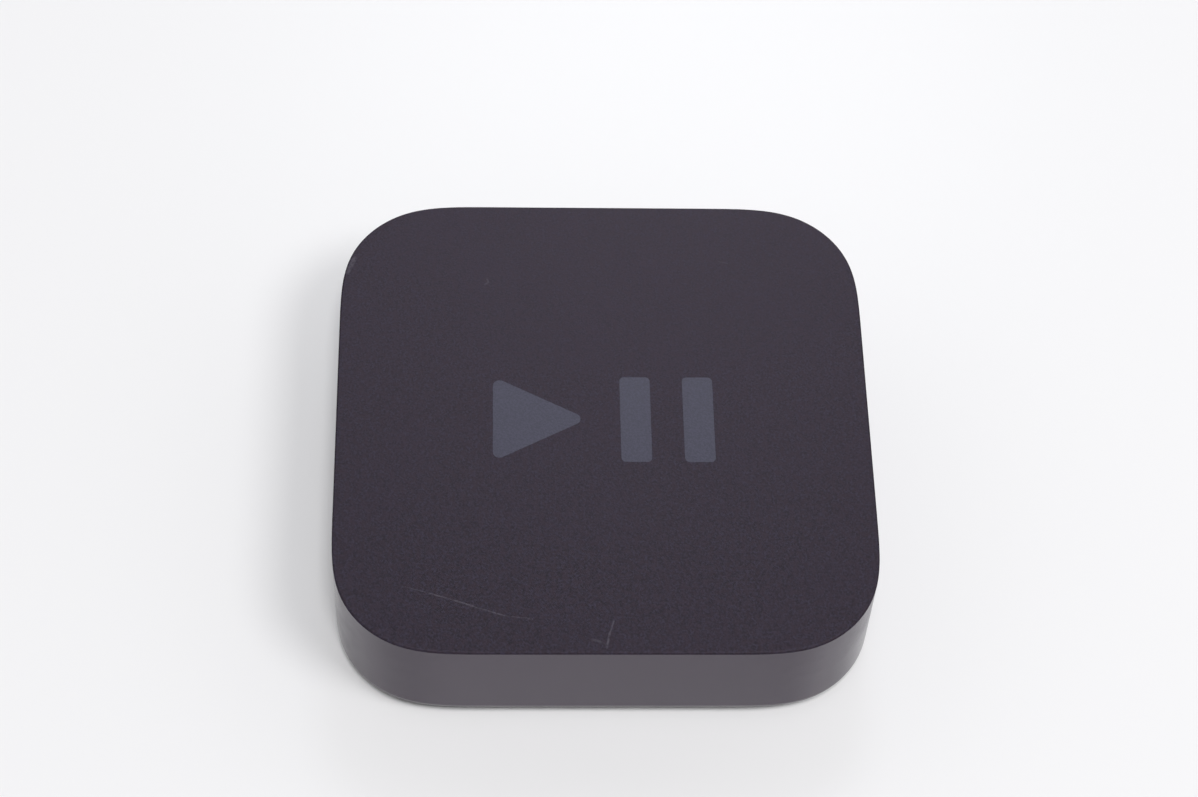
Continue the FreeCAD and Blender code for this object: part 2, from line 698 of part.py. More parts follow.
def ir_receiver():
    """The remote control's receiver: a moulded body with a domed lens towards the front wall."""
    body = box(around(IR_X, 5.4), (SENSOR_FRONT - 1.3, SENSOR_FRONT), around(LED_Z, 5.8))
    dome = Part.makeSphere(2.0, Vector(IR_X, SENSOR_FRONT - 0.2, LED_Z + 0.4))
    limit = box(around(IR_X, 6.0), (-CAVITY_HALF, SENSOR_FRONT), around(LED_Z, 6.0))
    return joined([body, dome.common(limit)])


def status_led():
    return box(around(LED_X, 1.8), (SENSOR_FRONT - 0.7, SENSOR_FRONT), around(LED_Z, 1.2))


def led_light_pipe():
    """A clear pin that carries the light from the lamp to the thin skin left in the front wall."""
    start = SENSOR_FRONT - 0.75
    tip = -CASE_SIDE / 2 + LIGHT_SKIN + 0.35
    pin = rod((LED_X, start, LED_Z), -Y_AXIS, PIPE_R, start - tip)
    collar = rod((LED_X, start, LED_Z), -Y_AXIS, 1.5, 0.6)
    return joined([pin, collar])


def sensor_connector():
    """A flat-cable connector with its locking bar, on the front strip of the main board."""
    x = around(RIBBON_X, RIBBON_WIDTH + 2.2)
    body = box(x, CONNECTOR_Y, (BOARD_HIGH, BOARD_HIGH + 1.7))
    slot = box(around(RIBBON_X, RIBBON_WIDTH + 0.2), (CONNECTOR_Y[0] - OVERCUT, -35.6), (10.0, 10.35))
    groove = box(x, (-37.0, -36.6), (BOARD_HIGH + 1.3, BOARD_HIGH + 1.7 + OVERCUT))
    return without(body, [slot, groove])


def sensor_ribbon():
    """A flat cable from the back of the sensor board down to its connector."""
    high, low = 13.6, 10.175
    stand, end = -41.4, -35.8
    line = [(SENSOR_REAR, high), (stand, high), (stand, low), (end, low)]
    route = rounded_route([(RIBBON_X, y, z) for y, z in line], 1.2)
    (x0, x1), (z0, z1) = around(RIBBON_X, RIBBON_WIDTH), around(high, 0.15)
    corners = [Vector(x, SENSOR_REAR, z) for x, z in ((x0, z0), (x1, z0), (x1, z1), (x0, z1), (x0, z0))]
    return route.makePipeShell([Part.makePolygon(corners)], True, False)


# ---------------------------------------------------------------- HDMI and USB sockets


def hdmi_outline(grow):
    """The socket's section: full width above, stepped in towards the board below."""
    half, step, low = HDMI_W / 2 + grow, 1.7, BOARD_HIGH - grow
    high, shoulder = BOARD_HIGH + HDMI_H + grow, BOARD_HIGH + 2.1 - grow / 2
    side = [(half - step, low), (half - step + 0.3, low + 0.9), (half, shoulder), (half, high)]
    return [(HDMI_X + x, z) for x, z in side] + [(HDMI_X - x, z) for x, z in reversed(side)]


def hdmi_shell():
    """The plated shell, open to the rear of the case, with spring tongues stamped in its roof."""
    outer = prism_along_y(hdmi_outline(0), (HDMI_REAR, PORT_FACE))
    inner = prism_along_y(hdmi_outline(-HDMI_SHEET), (HDMI_REAR + HDMI_SHEET, PORT_FACE + OVERCUT))
    roof = BOARD_HIGH + HDMI_H
    springs = []
    for x in (HDMI_X - 3.4, HDMI_X + 3.4):
        for edge in (-1.1, 1.1):
            springs.append(box(around(x + edge, 0.35), (41.0, 45.6), (roof - 1.0, roof + OVERCUT)))
    return without(outer, [inner] + springs)


def hdmi_tongue():
    """The insulating block at the back of the socket and the blade that carries the contacts."""
    middle = BOARD_HIGH + HDMI_H / 2 + 0.35
    block = prism_along_y(hdmi_outline(-HDMI_SHEET - 0.02), (HDMI_REAR + HDMI_SHEET, HDMI_REAR + 2.4))
    blade = box(around(HDMI_X, 11.2), (HDMI_REAR + 2.0, PORT_FACE - 0.8), around(middle, 1.5))
    return joined([block, blade])


def hdmi_contacts():
    """Ten contacts on the upper face of the blade and nine between them on the lower."""
    middle = BOARD_HIGH + HDMI_H / 2 + 0.35
    y = (HDMI_REAR + 2.4, PORT_FACE - 1.4)
    upper = [box(around(HDMI_X - 4.5 + i, 0.45), y, (middle + 0.75, middle + 0.9)) for i in range(10)]
    lower = [box(around(HDMI_X - 4.0 + i, 0.45), y, (middle - 0.9, middle - 0.75)) for i in range(9)]
    return group(upper + lower)


def usb_outline(grow):
    """The service socket's section: its lower corners are cut, and it hangs under the board."""
    half, high, low = USB_W / 2 + grow, BOARD_LOW + grow, BOARD_LOW - USB_H - grow
    side = [(half, high), (half, high - 1.5), (half - 0.9, low), (0, low)]
    return [(HDMI_X + x, z) for x, z in side] + [(HDMI_X - x, z) for x, z in reversed(side[:-1])]


def usb_shell():
    outer = prism_along_y(usb_outline(0), (USB_REAR, PORT_FACE))
    inner = prism_along_y(usb_outline(-USB_SHEET), (USB_REAR + USB_SHEET, PORT_FACE + OVERCUT))
    return without(outer, [inner])


def usb_tongue():
    block = prism_along_y(usb_outline(-USB_SHEET - 0.02), (USB_REAR + USB_SHEET, USB_REAR + 1.4))
    blade = box(around(HDMI_X, 3.8), (USB_REAR + 1.0, PORT_FACE - 0.8), (BOARD_LOW - 1.3, BOARD_LOW - 0.7))
    return joined([block, blade])


def usb_contacts():
    y, z = (USB_REAR + 1.4, PORT_FACE - 1.2), (BOARD_LOW - 1.4, BOARD_LOW - 1.3)
    return group([box(around(HDMI_X + 0.65 * i, 0.35), y, z) for i in range(-2, 3)])


# ---------------------------------------------------------------- optical socket


def optical_housing():
    """The moulded socket: keyed mouth, stepped pocket, ferrule bore and the holes for the shutter's pin."""
    outside = box(around(OPTICAL_X, OPTICAL_SIZE), (OPTICAL_REAR, PORT_FACE), around(PORT_Z, OPTICAL_SIZE))
    half = OPTICAL_SIZE / 2 - OPTICAL_WALL
    key = 1.2
    mouth = [
        (OPTICAL_X - half, OPTICAL_LOW + key),
        (OPTICAL_X - half + key, OPTICAL_LOW),
        (OPTICAL_X + half - key, OPTICAL_LOW),
        (OPTICAL_X + half, OPTICAL_LOW + key),
        (OPTICAL_X + half, OPTICAL_TOP),
        (OPTICAL_X - half, OPTICAL_TOP),
    ]
    pocket = prism_along_y(mouth, (OPTICAL_FLOOR, PORT_FACE + OVERCUT))
    bore = rod((OPTICAL_X, OPTICAL_REAR + 1.2, PORT_Z), Y_AXIS, FERRULE_R, OPTICAL_FLOOR - OPTICAL_REAR)
    chamber = box(around(OPTICAL_X, 6.4), (OPTICAL_REAR - OVERCUT, OPTICAL_REAR + 1.2), around(PORT_Z, 6.4))
    pin_hole = rod((OPTICAL_X - half - 0.5, SHUTTER_Y, SHUTTER_Z), X_AXIS, PIN_R, 2 * half + 1.0)
    return without(rounded(outside, 0.6, Y_AXIS), [pocket, bore, chamber, pin_hole])


def optical_emitter():
    """The red light source behind the ferrule bore, in its clear block."""
    front = OPTICAL_REAR + 0.4
    block = box(around(OPTICAL_X, 6.2), (OPTICAL_REAR - 0.9, front), around(PORT_Z, 6.2))
    lens = Part.makeSphere(0.7, Vector(OPTICAL_X, front, PORT_Z))
    return joined([block, lens])


def optical_shutter():
    """The spring flap that closes the mouth until a plug pushes it in and up."""
    barrel = rod((OPTICAL_X - SHUTTER_HALF, SHUTTER_Y, SHUTTER_Z), X_AXIS, BARREL_R, 2 * SHUTTER_HALF)
    half = OPTICAL_SIZE / 2 - OPTICAL_WALL - 0.15
    key, low = 1.2, OPTICAL_LOW + 0.15
    outline = [
        (OPTICAL_X - half, low + key),
        (OPTICAL_X - half + key, low),
        (OPTICAL_X + half - key, low),
        (OPTICAL_X + half, low + key),
        (OPTICAL_X + half, SHUTTER_Z - 1.1),
        (OPTICAL_X + SHUTTER_HALF, SHUTTER_Z - 1.1),
        (OPTICAL_X + SHUTTER_HALF, SHUTTER_Z),
        (OPTICAL_X - SHUTTER_HALF, SHUTTER_Z),
        (OPTICAL_X - SHUTTER_HALF, SHUTTER_Z - 1.1),
        (OPTICAL_X - half, SHUTTER_Z - 1.1),
    ]
    flap = prism_along_y(outline, around(SHUTTER_Y, SHUTTER_THICK))
    bore = rod((OPTICAL_X - 5.0, SHUTTER_Y, SHUTTER_Z), X_AXIS, PIN_R + 0.05, 10.0)
    return without(joined([barrel, flap]), [bore])


def shutter_pin():
    length = OPTICAL_SIZE - 2 * OPTICAL_WALL + 0.9
    return rod((OPTICAL_X - length / 2, SHUTTER_Y, SHUTTER_Z), X_AXIS, PIN_R, length)


def shutter_spring():
    """A torsion spring beside the flap's barrel: close turns round the pin, and one leg inwards."""
    wire, coil_r = 0.11, 0.58
    start = OPTICAL_X - SHUTTER_HALF - 0.12
    rings = []
    for i in range(3):
        centre = Vector(start - wire - 0.23 * i, SHUTTER_Y, SHUTTER_Z)
        rings.append(Part.makeTorus(coil_r, wire + 0.01, centre, X_AXIS))
    leg = rod((start - wire, SHUTTER_Y + 0.1, SHUTTER_Z + coil_r), -Y_AXIS, wire, 3.0)
    return joined(rings + [leg])


# ---------------------------------------------------------------- network socket


def ethernet_shell():
    """A folded metal shield round the socket, open to the rear of the case and below."""
    x, z = around(ETHERNET_X, ETHERNET_W), around(PORT_Z, ETHERNET_H)
    outer = rounded(box(x, (ETHERNET_REAR, PORT_FACE), z), 0.5, Y_AXIS)
    s = ETHERNET_SHEET
    inner = box((x[0] + s, x[1] - s), (ETHERNET_REAR + s, PORT_FACE + OVERCUT), (z[0] + s, z[1] - s))
    windows = [box(around(side, 2.0), (37.0, 41.0), around(PORT_Z + 1.0, 1.6)) for side in x]
    return without(outer, [inner] + windows)


def plug_space(y):
    """The room for a network plug: its body with the latch channel below."""
    floor = PLUG_ROOF - PLUG_H
    return [
        box(around(ETHERNET_X, PLUG_W), y, (floor, PLUG_ROOF)),
        box(around(ETHERNET_X, 6.4), y, (floor - 1.5, floor)),
        box(around(ETHERNET_X, 4.0), y, (floor - 2.8, floor - 1.5)),
    ]


def ethernet_insert():
    """The moulded body inside the shield, with eight slots in its roof for the contacts."""
    s = ETHERNET_SHEET + 0.02
    x = around(ETHERNET_X, ETHERNET_W - 2 * s)
    z = around(PORT_Z, ETHERNET_H - 2 * s)
    body = box(x, (ETHERNET_REAR + s, PORT_FACE - 0.3), z)
    slot_y, slot_z = (PLUG_FLOOR, PORT_FACE - 1.6), (PLUG_ROOF - OVERCUT, PLUG_ROOF + 1.1)
    slots = [box(around(cx, 0.6), slot_y, slot_z) for cx in contact_places()]
    return without(body, plug_space((PLUG_FLOOR, PORT_FACE + OVERCUT)) + slots)


def contact_places():
    return [ETHERNET_X + CONTACT_PITCH * (i - 3.5) for i in range(8)]


def ethernet_contacts():
    """Eight spring wires that slope from the mouth's roof down into the socket."""
    roof, thick = PLUG_ROOF, 0.3
    front, rear = PORT_FACE - 2.2, PLUG_FLOOR + 0.3
    profile = [
        (rear, roof + 0.7),
        (front, roof + 0.7),
        (front, roof + 0.4),
        (front - 0.6, roof + 0.4),
        (rear + 3.6, roof - 1.9),
        (rear + 3.2, roof - 1.6),
        (front - 1.5, roof + 0.7 - thick),
        (rear, roof + 0.7 - thick),
    ]
    return group([prism_along_x(profile, around(cx, 0.42)) for cx in contact_places()])


# ---------------------------------------------------------------- mains inlet


def power_inlet():
    """The two-pin mains socket: a block behind the wall and a figure-eight nose through it."""
    block = box(around(INLET_X, INLET_W), (INLET_REAR, INLET_SHOULDER), around(PORT_Z, INLET_H))
    nose = figure_eight(INLET_LOBE_R + INLET_WALL, (INLET_SHOULDER, PORT_FACE))
    recess = figure_eight(INLET_LOBE_R, (INLET_FLOOR, PORT_FACE + OVERCUT))
    holes = [rod((x, INLET_REAR - OVERCUT, PORT_Z), Y_AXIS, MAINS_ROOT_R, 8.0) for x in mains_pin_places()]
    return without(joined([rounded(block, 1.0, Y_AXIS), nose]), [recess] + holes)


def mains_pin_places():
    return [INLET_X - PIN_PITCH / 2, INLET_X + PIN_PITCH / 2]


def power_pins():
    """Two round-nosed pins, each with a thicker root in the block and a tail down to the board."""
    tail_y = INLET_REAR - 2.2
    pins = []
    for x in mains_pin_places():
        root = rod((x, tail_y, PORT_Z), Y_AXIS, MAINS_ROOT_R, INLET_FLOOR - tail_y)
        pin = rod((x, INLET_FLOOR, PORT_Z), Y_AXIS, MAINS_PIN_R, MAINS_PIN_TIP - INLET_FLOOR)
        tip = [e for e in pin.Edges if abs(e.BoundBox.YMin - MAINS_PIN_TIP) < 1e-4]
        pin = pin.makeFillet(0.7, tip)
        tail = rod((x, tail_y + 0.7, BOARD_LOW - 0.8), Z_AXIS, 0.6, PORT_Z - BOARD_LOW + 0.8)
        pins.append(joined([root, pin, tail]))
    return group(pins)


# ---------------------------------------------------------------- power supply


def power_board():
    """The supply's board, with a milled slot that separates mains from the low-voltage side."""
    blank = rounded(box(POWER_X, POWER_Y, (BOARD_LOW, BOARD_HIGH)), 1.5, Z_AXIS)
    z = (BOARD_LOW - OVERCUT, BOARD_HIGH + OVERCUT)
    slot = rounded(box((37.6, 43.0), around(-10.0, 1.2), z), 0.5, Z_AXIS)
    tail_y, length = INLET_REAR - 1.5, BOARD_THICK + 2 * OVERCUT
    tails = [rod((x, tail_y, z[0]), Z_AXIS, 0.7, length) for x in mains_pin_places()]
    return without(blank, [slot] + tails + board_screw_holes(POWER_SCREWS))


def transformer_core():
    """Two ferrite E halves that meet in the middle, lying flat."""
    c = TRANSFORMER
    body = box(around(c.x, CORE_SIZE[0]), around(c.y, CORE_SIZE[1]), around(c.z, CORE_SIZE[2]))
    window_z = around(c.z, CORE_SIZE[2] + OVERCUT)
    windows = [box(around(c.x, 11.6), around(c.y + side * 4.25, 3.7), window_z) for side in (-1, 1)]
    return without(rounded(body, 0.5, Z_AXIS), windows)


def transformer_tube(length, width, height, corner):
    """A block round the core's middle leg with rounded long edges."""
    c = TRANSFORMER
    return rounded(box(around(c.x, length), around(c.y, width), around(c.z, height)), corner, X_AXIS)


def transformer_bobbin():
    """The plastic former: a tube round the middle leg, two cheeks and two feet with pins' rails."""
    c = TRANSFORMER
    tube = transformer_tube(11.2, 6.4, 6.6, 0.6)
    depth, foot_top = around(c.y, 11.8), c.z - 2.6
    parts = [tube]
    for side in (-1, 1):
        parts.append(box(around(c.x + side * 5.1, 1.0), depth, around(c.z, 10.4)))
        parts.append(box(around(c.x + side * 7.0, 2.6), depth, (BOARD_HIGH, foot_top)))
        parts.append(box(around(c.x + side * 5.4, 1.6), depth, (BOARD_HIGH + 0.2, foot_top)))
    leg = box(around(c.x, 20.0), around(c.y, 4.9), around(c.z, 5.1))
    return without(joined(parts), [leg])


def transformer_winding():
    """The taped coil between the former's cheeks."""
    outer = transformer_tube(9.1, 11.4, 10.0, 3.2)
    return without(outer, [transformer_tube(12.0, 6.44, 6.64, 0.6)])


def mains_capacitor():
    """The smoothing capacitor lying on its side, with a crimp groove and a dished end."""
    c = CAP_CENTRE
    body = rod((c.x, c.y, c.z), Y_AXIS, CAP_R, CAP_LENGTH)
    body = body.makeFillet(0.7, [e for e in body.Edges if len(e.Vertexes) == 1])
    groove = Part.makeTorus(CAP_R + 0.35, 0.8, Vector(c.x, c.y + 2.6, c.z), Y_AXIS)
    dish = rod((c.x, c.y + CAP_LENGTH - 0.4, c.z), Y_AXIS, CAP_R - 1.1, OVERCUT)
    legs = []
    for x in around(c.x, 5.0):
        legs.append(rod((x, c.y + 0.3, c.z), -Y_AXIS, 0.3, 1.6))
        legs.append(rod((x, c.y - 1.0, BOARD_HIGH), Z_AXIS, 0.3, c.z - BOARD_HIGH))
    return joined([body.cut([groove, dish])] + legs)


def mains_choke():
    """A two-winding interference choke on a closed core, standing on the board."""
    x, y, top = 33.0, 17.4, BOARD_HIGH + 9.2
    base = box(around(x, 9.4), around(y, 8.0), (BOARD_HIGH, BOARD_HIGH + 1.0))
    ring = box(around(x, 9.4), around(y, 2.6), (BOARD_HIGH + 1.0, top))
    window = box(around(x, 4.0), around(y, 4.0), (BOARD_HIGH + 3.0, top - 2.0))
    coils = [rod((place, y, BOARD_HIGH + 3.1), Z_AXIS, 2.5, 4.2) for place in around(x, 6.2)]
    limit = box(around(x, 11.0), around(y, 7.6), (BOARD_HIGH, top))
    return joined([base, without(ring, [window])] + [coil.common(limit) for coil in coils])


def suppression_capacitor():
    return rounded(chip(40.6, 7.6, (5.2, 13.0, 10.2)), 0.5, Z_AXIS)


def mains_fuse():
    """A glass-bodied fuse with metal end caps, lying across the live track."""
    start, z, y = 31.6, BOARD_HIGH + 2.3, 26.4
    caps = [rod((start + s * 6.4, y, z), X_AXIS, 1.9, 2.0) for s in (0, 1)]
    body = rod((start, y, z), X_AXIS, 1.65, 8.4)
    legs = [rod((start + 1.0 + s * 6.4, y, BOARD_HIGH), Z_AXIS, 0.35, z - BOARD_HIGH) for s in (0, 1)]
    return joined(caps + [body] + legs)


def bridge_rectifier():
    x, y, leg_z = 32.4, 6.6, (BOARD_HIGH, BOARD_HIGH + 0.5)
    body = rounded(chip(x, y, (8.2, 6.4, 3.2)), 0.4, Z_AXIS)
    legs = [
        box(around(leg_x, 1.0), around(leg_y, 1.4), leg_z)
        for leg_x in around(x, 5.0)
        for leg_y in around(y, 7.8)
    ]
    return joined([body] + legs)


def switching_chip():
    """The primary switch and controller in a moulded eight-leg package."""
    x, y = 19.6, -5.6
    body = box(around(x, 6.2), around(y, 9.2), (BOARD_HIGH + 0.5, BOARD_HIGH + 3.8))
    leg_z = (BOARD_HIGH, BOARD_HIGH + 2.0)
    legs = [
        box(around(leg_x, 0.5), around(y - 3.81 + 2.54 * i, 0.6), leg_z)
        for leg_x in around(x, 6.6)
        for i in range(4)
    ]
    return joined([body] + legs)


def output_capacitors():
    return group([can_capacitor(x, -22.0, 3.1, 9.8) for x in (32.0, 38.9)])


def power_insulator():
    """A folded plastic tray under and beside the supply, holed for its screws."""
    thick, low = 0.4, 5.9
    x, y = (15.2, 45.0), (-28.2, 29.7)
    floor = rounded(box(x, y, (low, low + thick)), 1.0, Z_AXIS)
    side_y, side_z = (y[0] + 1.0, y[1] - 1.0), (low, 19.6)
    inner_wall = box((x[0], x[0] + thick), side_y, side_z)
    outer_wall = box((x[1] - thick, x[1]), side_y, side_z)
    front_wall = box((x[0] + 1.0, x[1] - 1.0), (y[0], y[0] + thick), (low, 10.4))
    holes = [rod((sx, sy, low - OVERCUT), Z_AXIS, SCREW_HEAD_R + 0.5, 2.0) for sx, sy in POWER_SCREWS]
    return without(joined([floor, inner_wall, outer_wall, front_wall]), holes)


def power_socket():
    """The low-voltage header on the front strip of the main board."""
    rear, mouth = -38.6, -33.6
    outer = box(PLUG_X, (rear, mouth), (BOARD_HIGH, BOARD_HIGH + 4.4))
    hollow_x, hollow_z = (PLUG_X[0] + 0.5, PLUG_X[1] - 0.5), (BOARD_HIGH + 0.6, BOARD_HIGH + 3.9)
    return without(outer, [box(hollow_x, (rear + 0.5, mouth + OVERCUT), hollow_z)])


def power_plug():
    """The plug on the supply's leads, pushed into its header."""
    body = box((PLUG_X[0] + 0.6, PLUG_X[1] - 0.6), (-37.6, -32.4), (BOARD_HIGH + 0.7, BOARD_HIGH + 3.8))
    holes = [rod((x, -34.0, LEAD_Z), Y_AXIS, LEAD_R, 4.0) for x in lead_places()]
    return without(body, holes)


def lead_places():
    middle = sum(PLUG_X) / 2
    return [middle + LEAD_PITCH * i for i in (-1, 0, 1)]


def power_leads():
    """Three short wires from the supply's board up over its edge into the plug."""
    leads = []
    for i, x in enumerate(lead_places()):
        crest = LEAD_Z + 0.9
        points = [
            (x, -25.0, BOARD_HIGH),
            (x, -25.0, crest + 0.2 * i),
            (x, -29.2, crest + 0.2 * i),
            (x, -31.2, LEAD_Z),
            (x, -34.0, LEAD_Z),
        ]
        leads.append(cable(points, 0.9, LEAD_R))
    return group(leads)


# ---------------------------------------------------------------- antennas


def antenna_carriers():
    """Two plastic blocks bonded inside the left and the front wall."""
    side = box((-CARRIER_FACE - CARRIER_THICK, -CARRIER_FACE), SIDE_CARRIER_Y, CARRIER_Z)
    front = box(FRONT_CARRIER_X, (-CARRIER_FACE - CARRIER_THICK, -CARRIER_FACE), CARRIER_Z)
    return group([side, front])


def radiator(place):
    """A slotted metal skin along X between two x values, on the face of the front wall's carrier."""
    start, end = place[0] + 0.8, place[1] - 0.8
    z = (CARRIER_Z[0] + 0.6, CARRIER_Z[1] - 0.6)
    plate = box((start, end), (-CARRIER_FACE, -CARRIER_FACE + ELEMENT_THICK), z)
    cut = around(-CARRIER_FACE, 2 * OVERCUT)
    from_end = box((start + 3.0, end + OVERCUT), cut, (z[0] + 2.2, z[0] + 3.2))
    from_start = box((start - OVERCUT, end - 3.0), cut, (z[1] - 2.4, z[1] - 1.6))
    return without(plate, [from_end, from_start])


def antenna_elements():
    """A slotted metal radiator on the inner face of each carrier."""
    side = radiator((-SIDE_CARRIER_Y[1], -SIDE_CARRIER_Y[0]))
    side.rotate(Vector(), Z_AXIS, -90)
    return group([side, radiator(FRONT_CARRIER_X)])


def antenna_leads():
    """Thin coaxial leads from each radiator to the radio's sockets, ending in snap-on caps."""
    face = -(CARRIER_FACE - ELEMENT_THICK - 0.5)
    feed_z = 14.0
    cap_low = BOARD_HIGH + WIRELESS_BOARD + 0.9
    lead_z = cap_low + 0.5
    (ax, ay), (bx, by) = antenna_sockets()
    side_route = [
        (face, SIDE_CARRIER_Y[0] + 2.0, feed_z),
        (face, ay, feed_z),
        (face + 3.4, ay, lead_z),
        (ax, ay, lead_z),
    ]
    front_route = [
        (FRONT_CARRIER_X[0] + 2.0, face, feed_z),
        (bx, face, feed_z),
        (bx, face + 5.0, lead_z),
        (bx, by, lead_z),
    ]
    leads = []
    for route, (x, y) in ((side_route, (ax, ay)), (front_route, (bx, by))):
        cap = rod((x, y, cap_low), Z_AXIS, 1.3, 1.1)
        leads.append(joined([cable(route, 1.2, 0.45), cap]))
    return group(leads)


# ---------------------------------------------------------------- fasteners


def star_screw(x, y, head_top):
    """A pan-head screw driven upwards, with a six-pointed recess in its head."""
    face = head_top - SCREW_HEAD
    shank = rod((x, y, head_top), Z_AXIS, SCREW_R - 0.02, SCREW_LENGTH)
    head = rod((x, y, face), Z_AXIS, SCREW_HEAD_R, SCREW_HEAD)
    head = head.makeFillet(0.5, edges_at(head, face))
    star = []
    for i in range(12):
        reach = 1.15 if i % 2 else 0.8
        angle = math.radians(30 * i)
        star.append((x + reach * math.cos(angle), y + reach * math.sin(angle), face - OVERCUT))
    recess = outline_prism(star, Z_AXIS * (OVERCUT + 0.9))
    return without(joined([shank, head]), [recess])


def board_screws():
    """Five screws hold the main board and its heat spreader, and two hold the supply."""
    main = [star_screw(x, y, BOARD_LOW - SPREADER_THICK) for x, y in BOARD_SCREWS]
    supply = [star_screw(x, y, BOARD_LOW) for x, y in POWER_SCREWS]
    return group(main + supply)


# ---------------------------------------------------------------- export

SUBPARTS = [
    top_case, top_mark, port_symbols, bottom_cover, rubber_foot,
    main_board, processor, memory_chips, processor_shield, thermal_pads, heat_spreader,
    wireless_module, wireless_shield, controller_chips, power_coils, board_capacitors,
    ceramic_capacitors, crystals, ethernet_magnetics,
    sensor_board, ir_receiver, status_led, led_light_pipe, sensor_connector, sensor_ribbon,
    hdmi_shell, hdmi_tongue, hdmi_contacts, usb_shell, usb_tongue, usb_contacts,
    optical_housing, optical_emitter, optical_shutter, shutter_pin, shutter_spring,
    ethernet_shell, ethernet_insert, ethernet_contacts, power_inlet, power_pins,
    power_board, transformer_core, transformer_bobbin, transformer_winding, mains_capacitor,
    mains_choke, suppression_capacitor, mains_fuse, bridge_rectifier, switching_chip,
    output_capacitors, power_insulator, power_socket, power_plug, power_leads,
    antenna_carriers, antenna_elements, antenna_leads, board_screws,
]


def main():
    os.makedirs("parts", exist_ok=True)
    for build in SUBPARTS:
        shape = build()
        solids = shape.Solids
        if not solids or not all(s.isValid() and s.isClosed() for s in solids):
            raise SystemExit(f"{build.__name__} is not made of closed solids")
        shape.exportStep(os.path.join("parts", build.__name__ + ".step"))
        print(f"{build.__name__}: {len(solids)} solids, {shape.Volume:.1f} mm3")


main()
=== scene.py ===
"""Looks, light and camera for the streaming media player. Metres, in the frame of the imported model."""

import math

import bpy
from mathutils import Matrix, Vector


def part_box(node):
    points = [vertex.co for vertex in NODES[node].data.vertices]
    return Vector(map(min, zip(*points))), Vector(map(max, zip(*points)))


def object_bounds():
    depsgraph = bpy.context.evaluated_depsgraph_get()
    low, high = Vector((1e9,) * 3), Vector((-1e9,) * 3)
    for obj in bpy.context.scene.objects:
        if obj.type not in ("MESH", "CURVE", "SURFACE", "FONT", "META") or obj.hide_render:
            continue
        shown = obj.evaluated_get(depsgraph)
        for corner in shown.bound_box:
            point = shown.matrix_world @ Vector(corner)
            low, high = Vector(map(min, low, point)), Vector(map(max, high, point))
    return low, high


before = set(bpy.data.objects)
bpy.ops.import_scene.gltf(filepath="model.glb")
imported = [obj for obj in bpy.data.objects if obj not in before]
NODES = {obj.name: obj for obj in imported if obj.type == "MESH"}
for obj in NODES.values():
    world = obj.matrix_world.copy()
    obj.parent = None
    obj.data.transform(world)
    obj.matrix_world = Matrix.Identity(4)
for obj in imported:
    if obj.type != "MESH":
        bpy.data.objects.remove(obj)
CAD_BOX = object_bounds()

MM = 0.001
LOW, HIGH = (Vector(corner) for corner in CAD_BOX)
TOP = Vector(((LOW.x + HIGH.x) / 2, (LOW.y + HIGH.y) / 2, HIGH.z))


# ---------------------------------------------------------------- node helpers


def shade(color, factor):
    """The colour made darker or lighter."""
    return tuple(min(1.0, channel * factor) for channel in color)


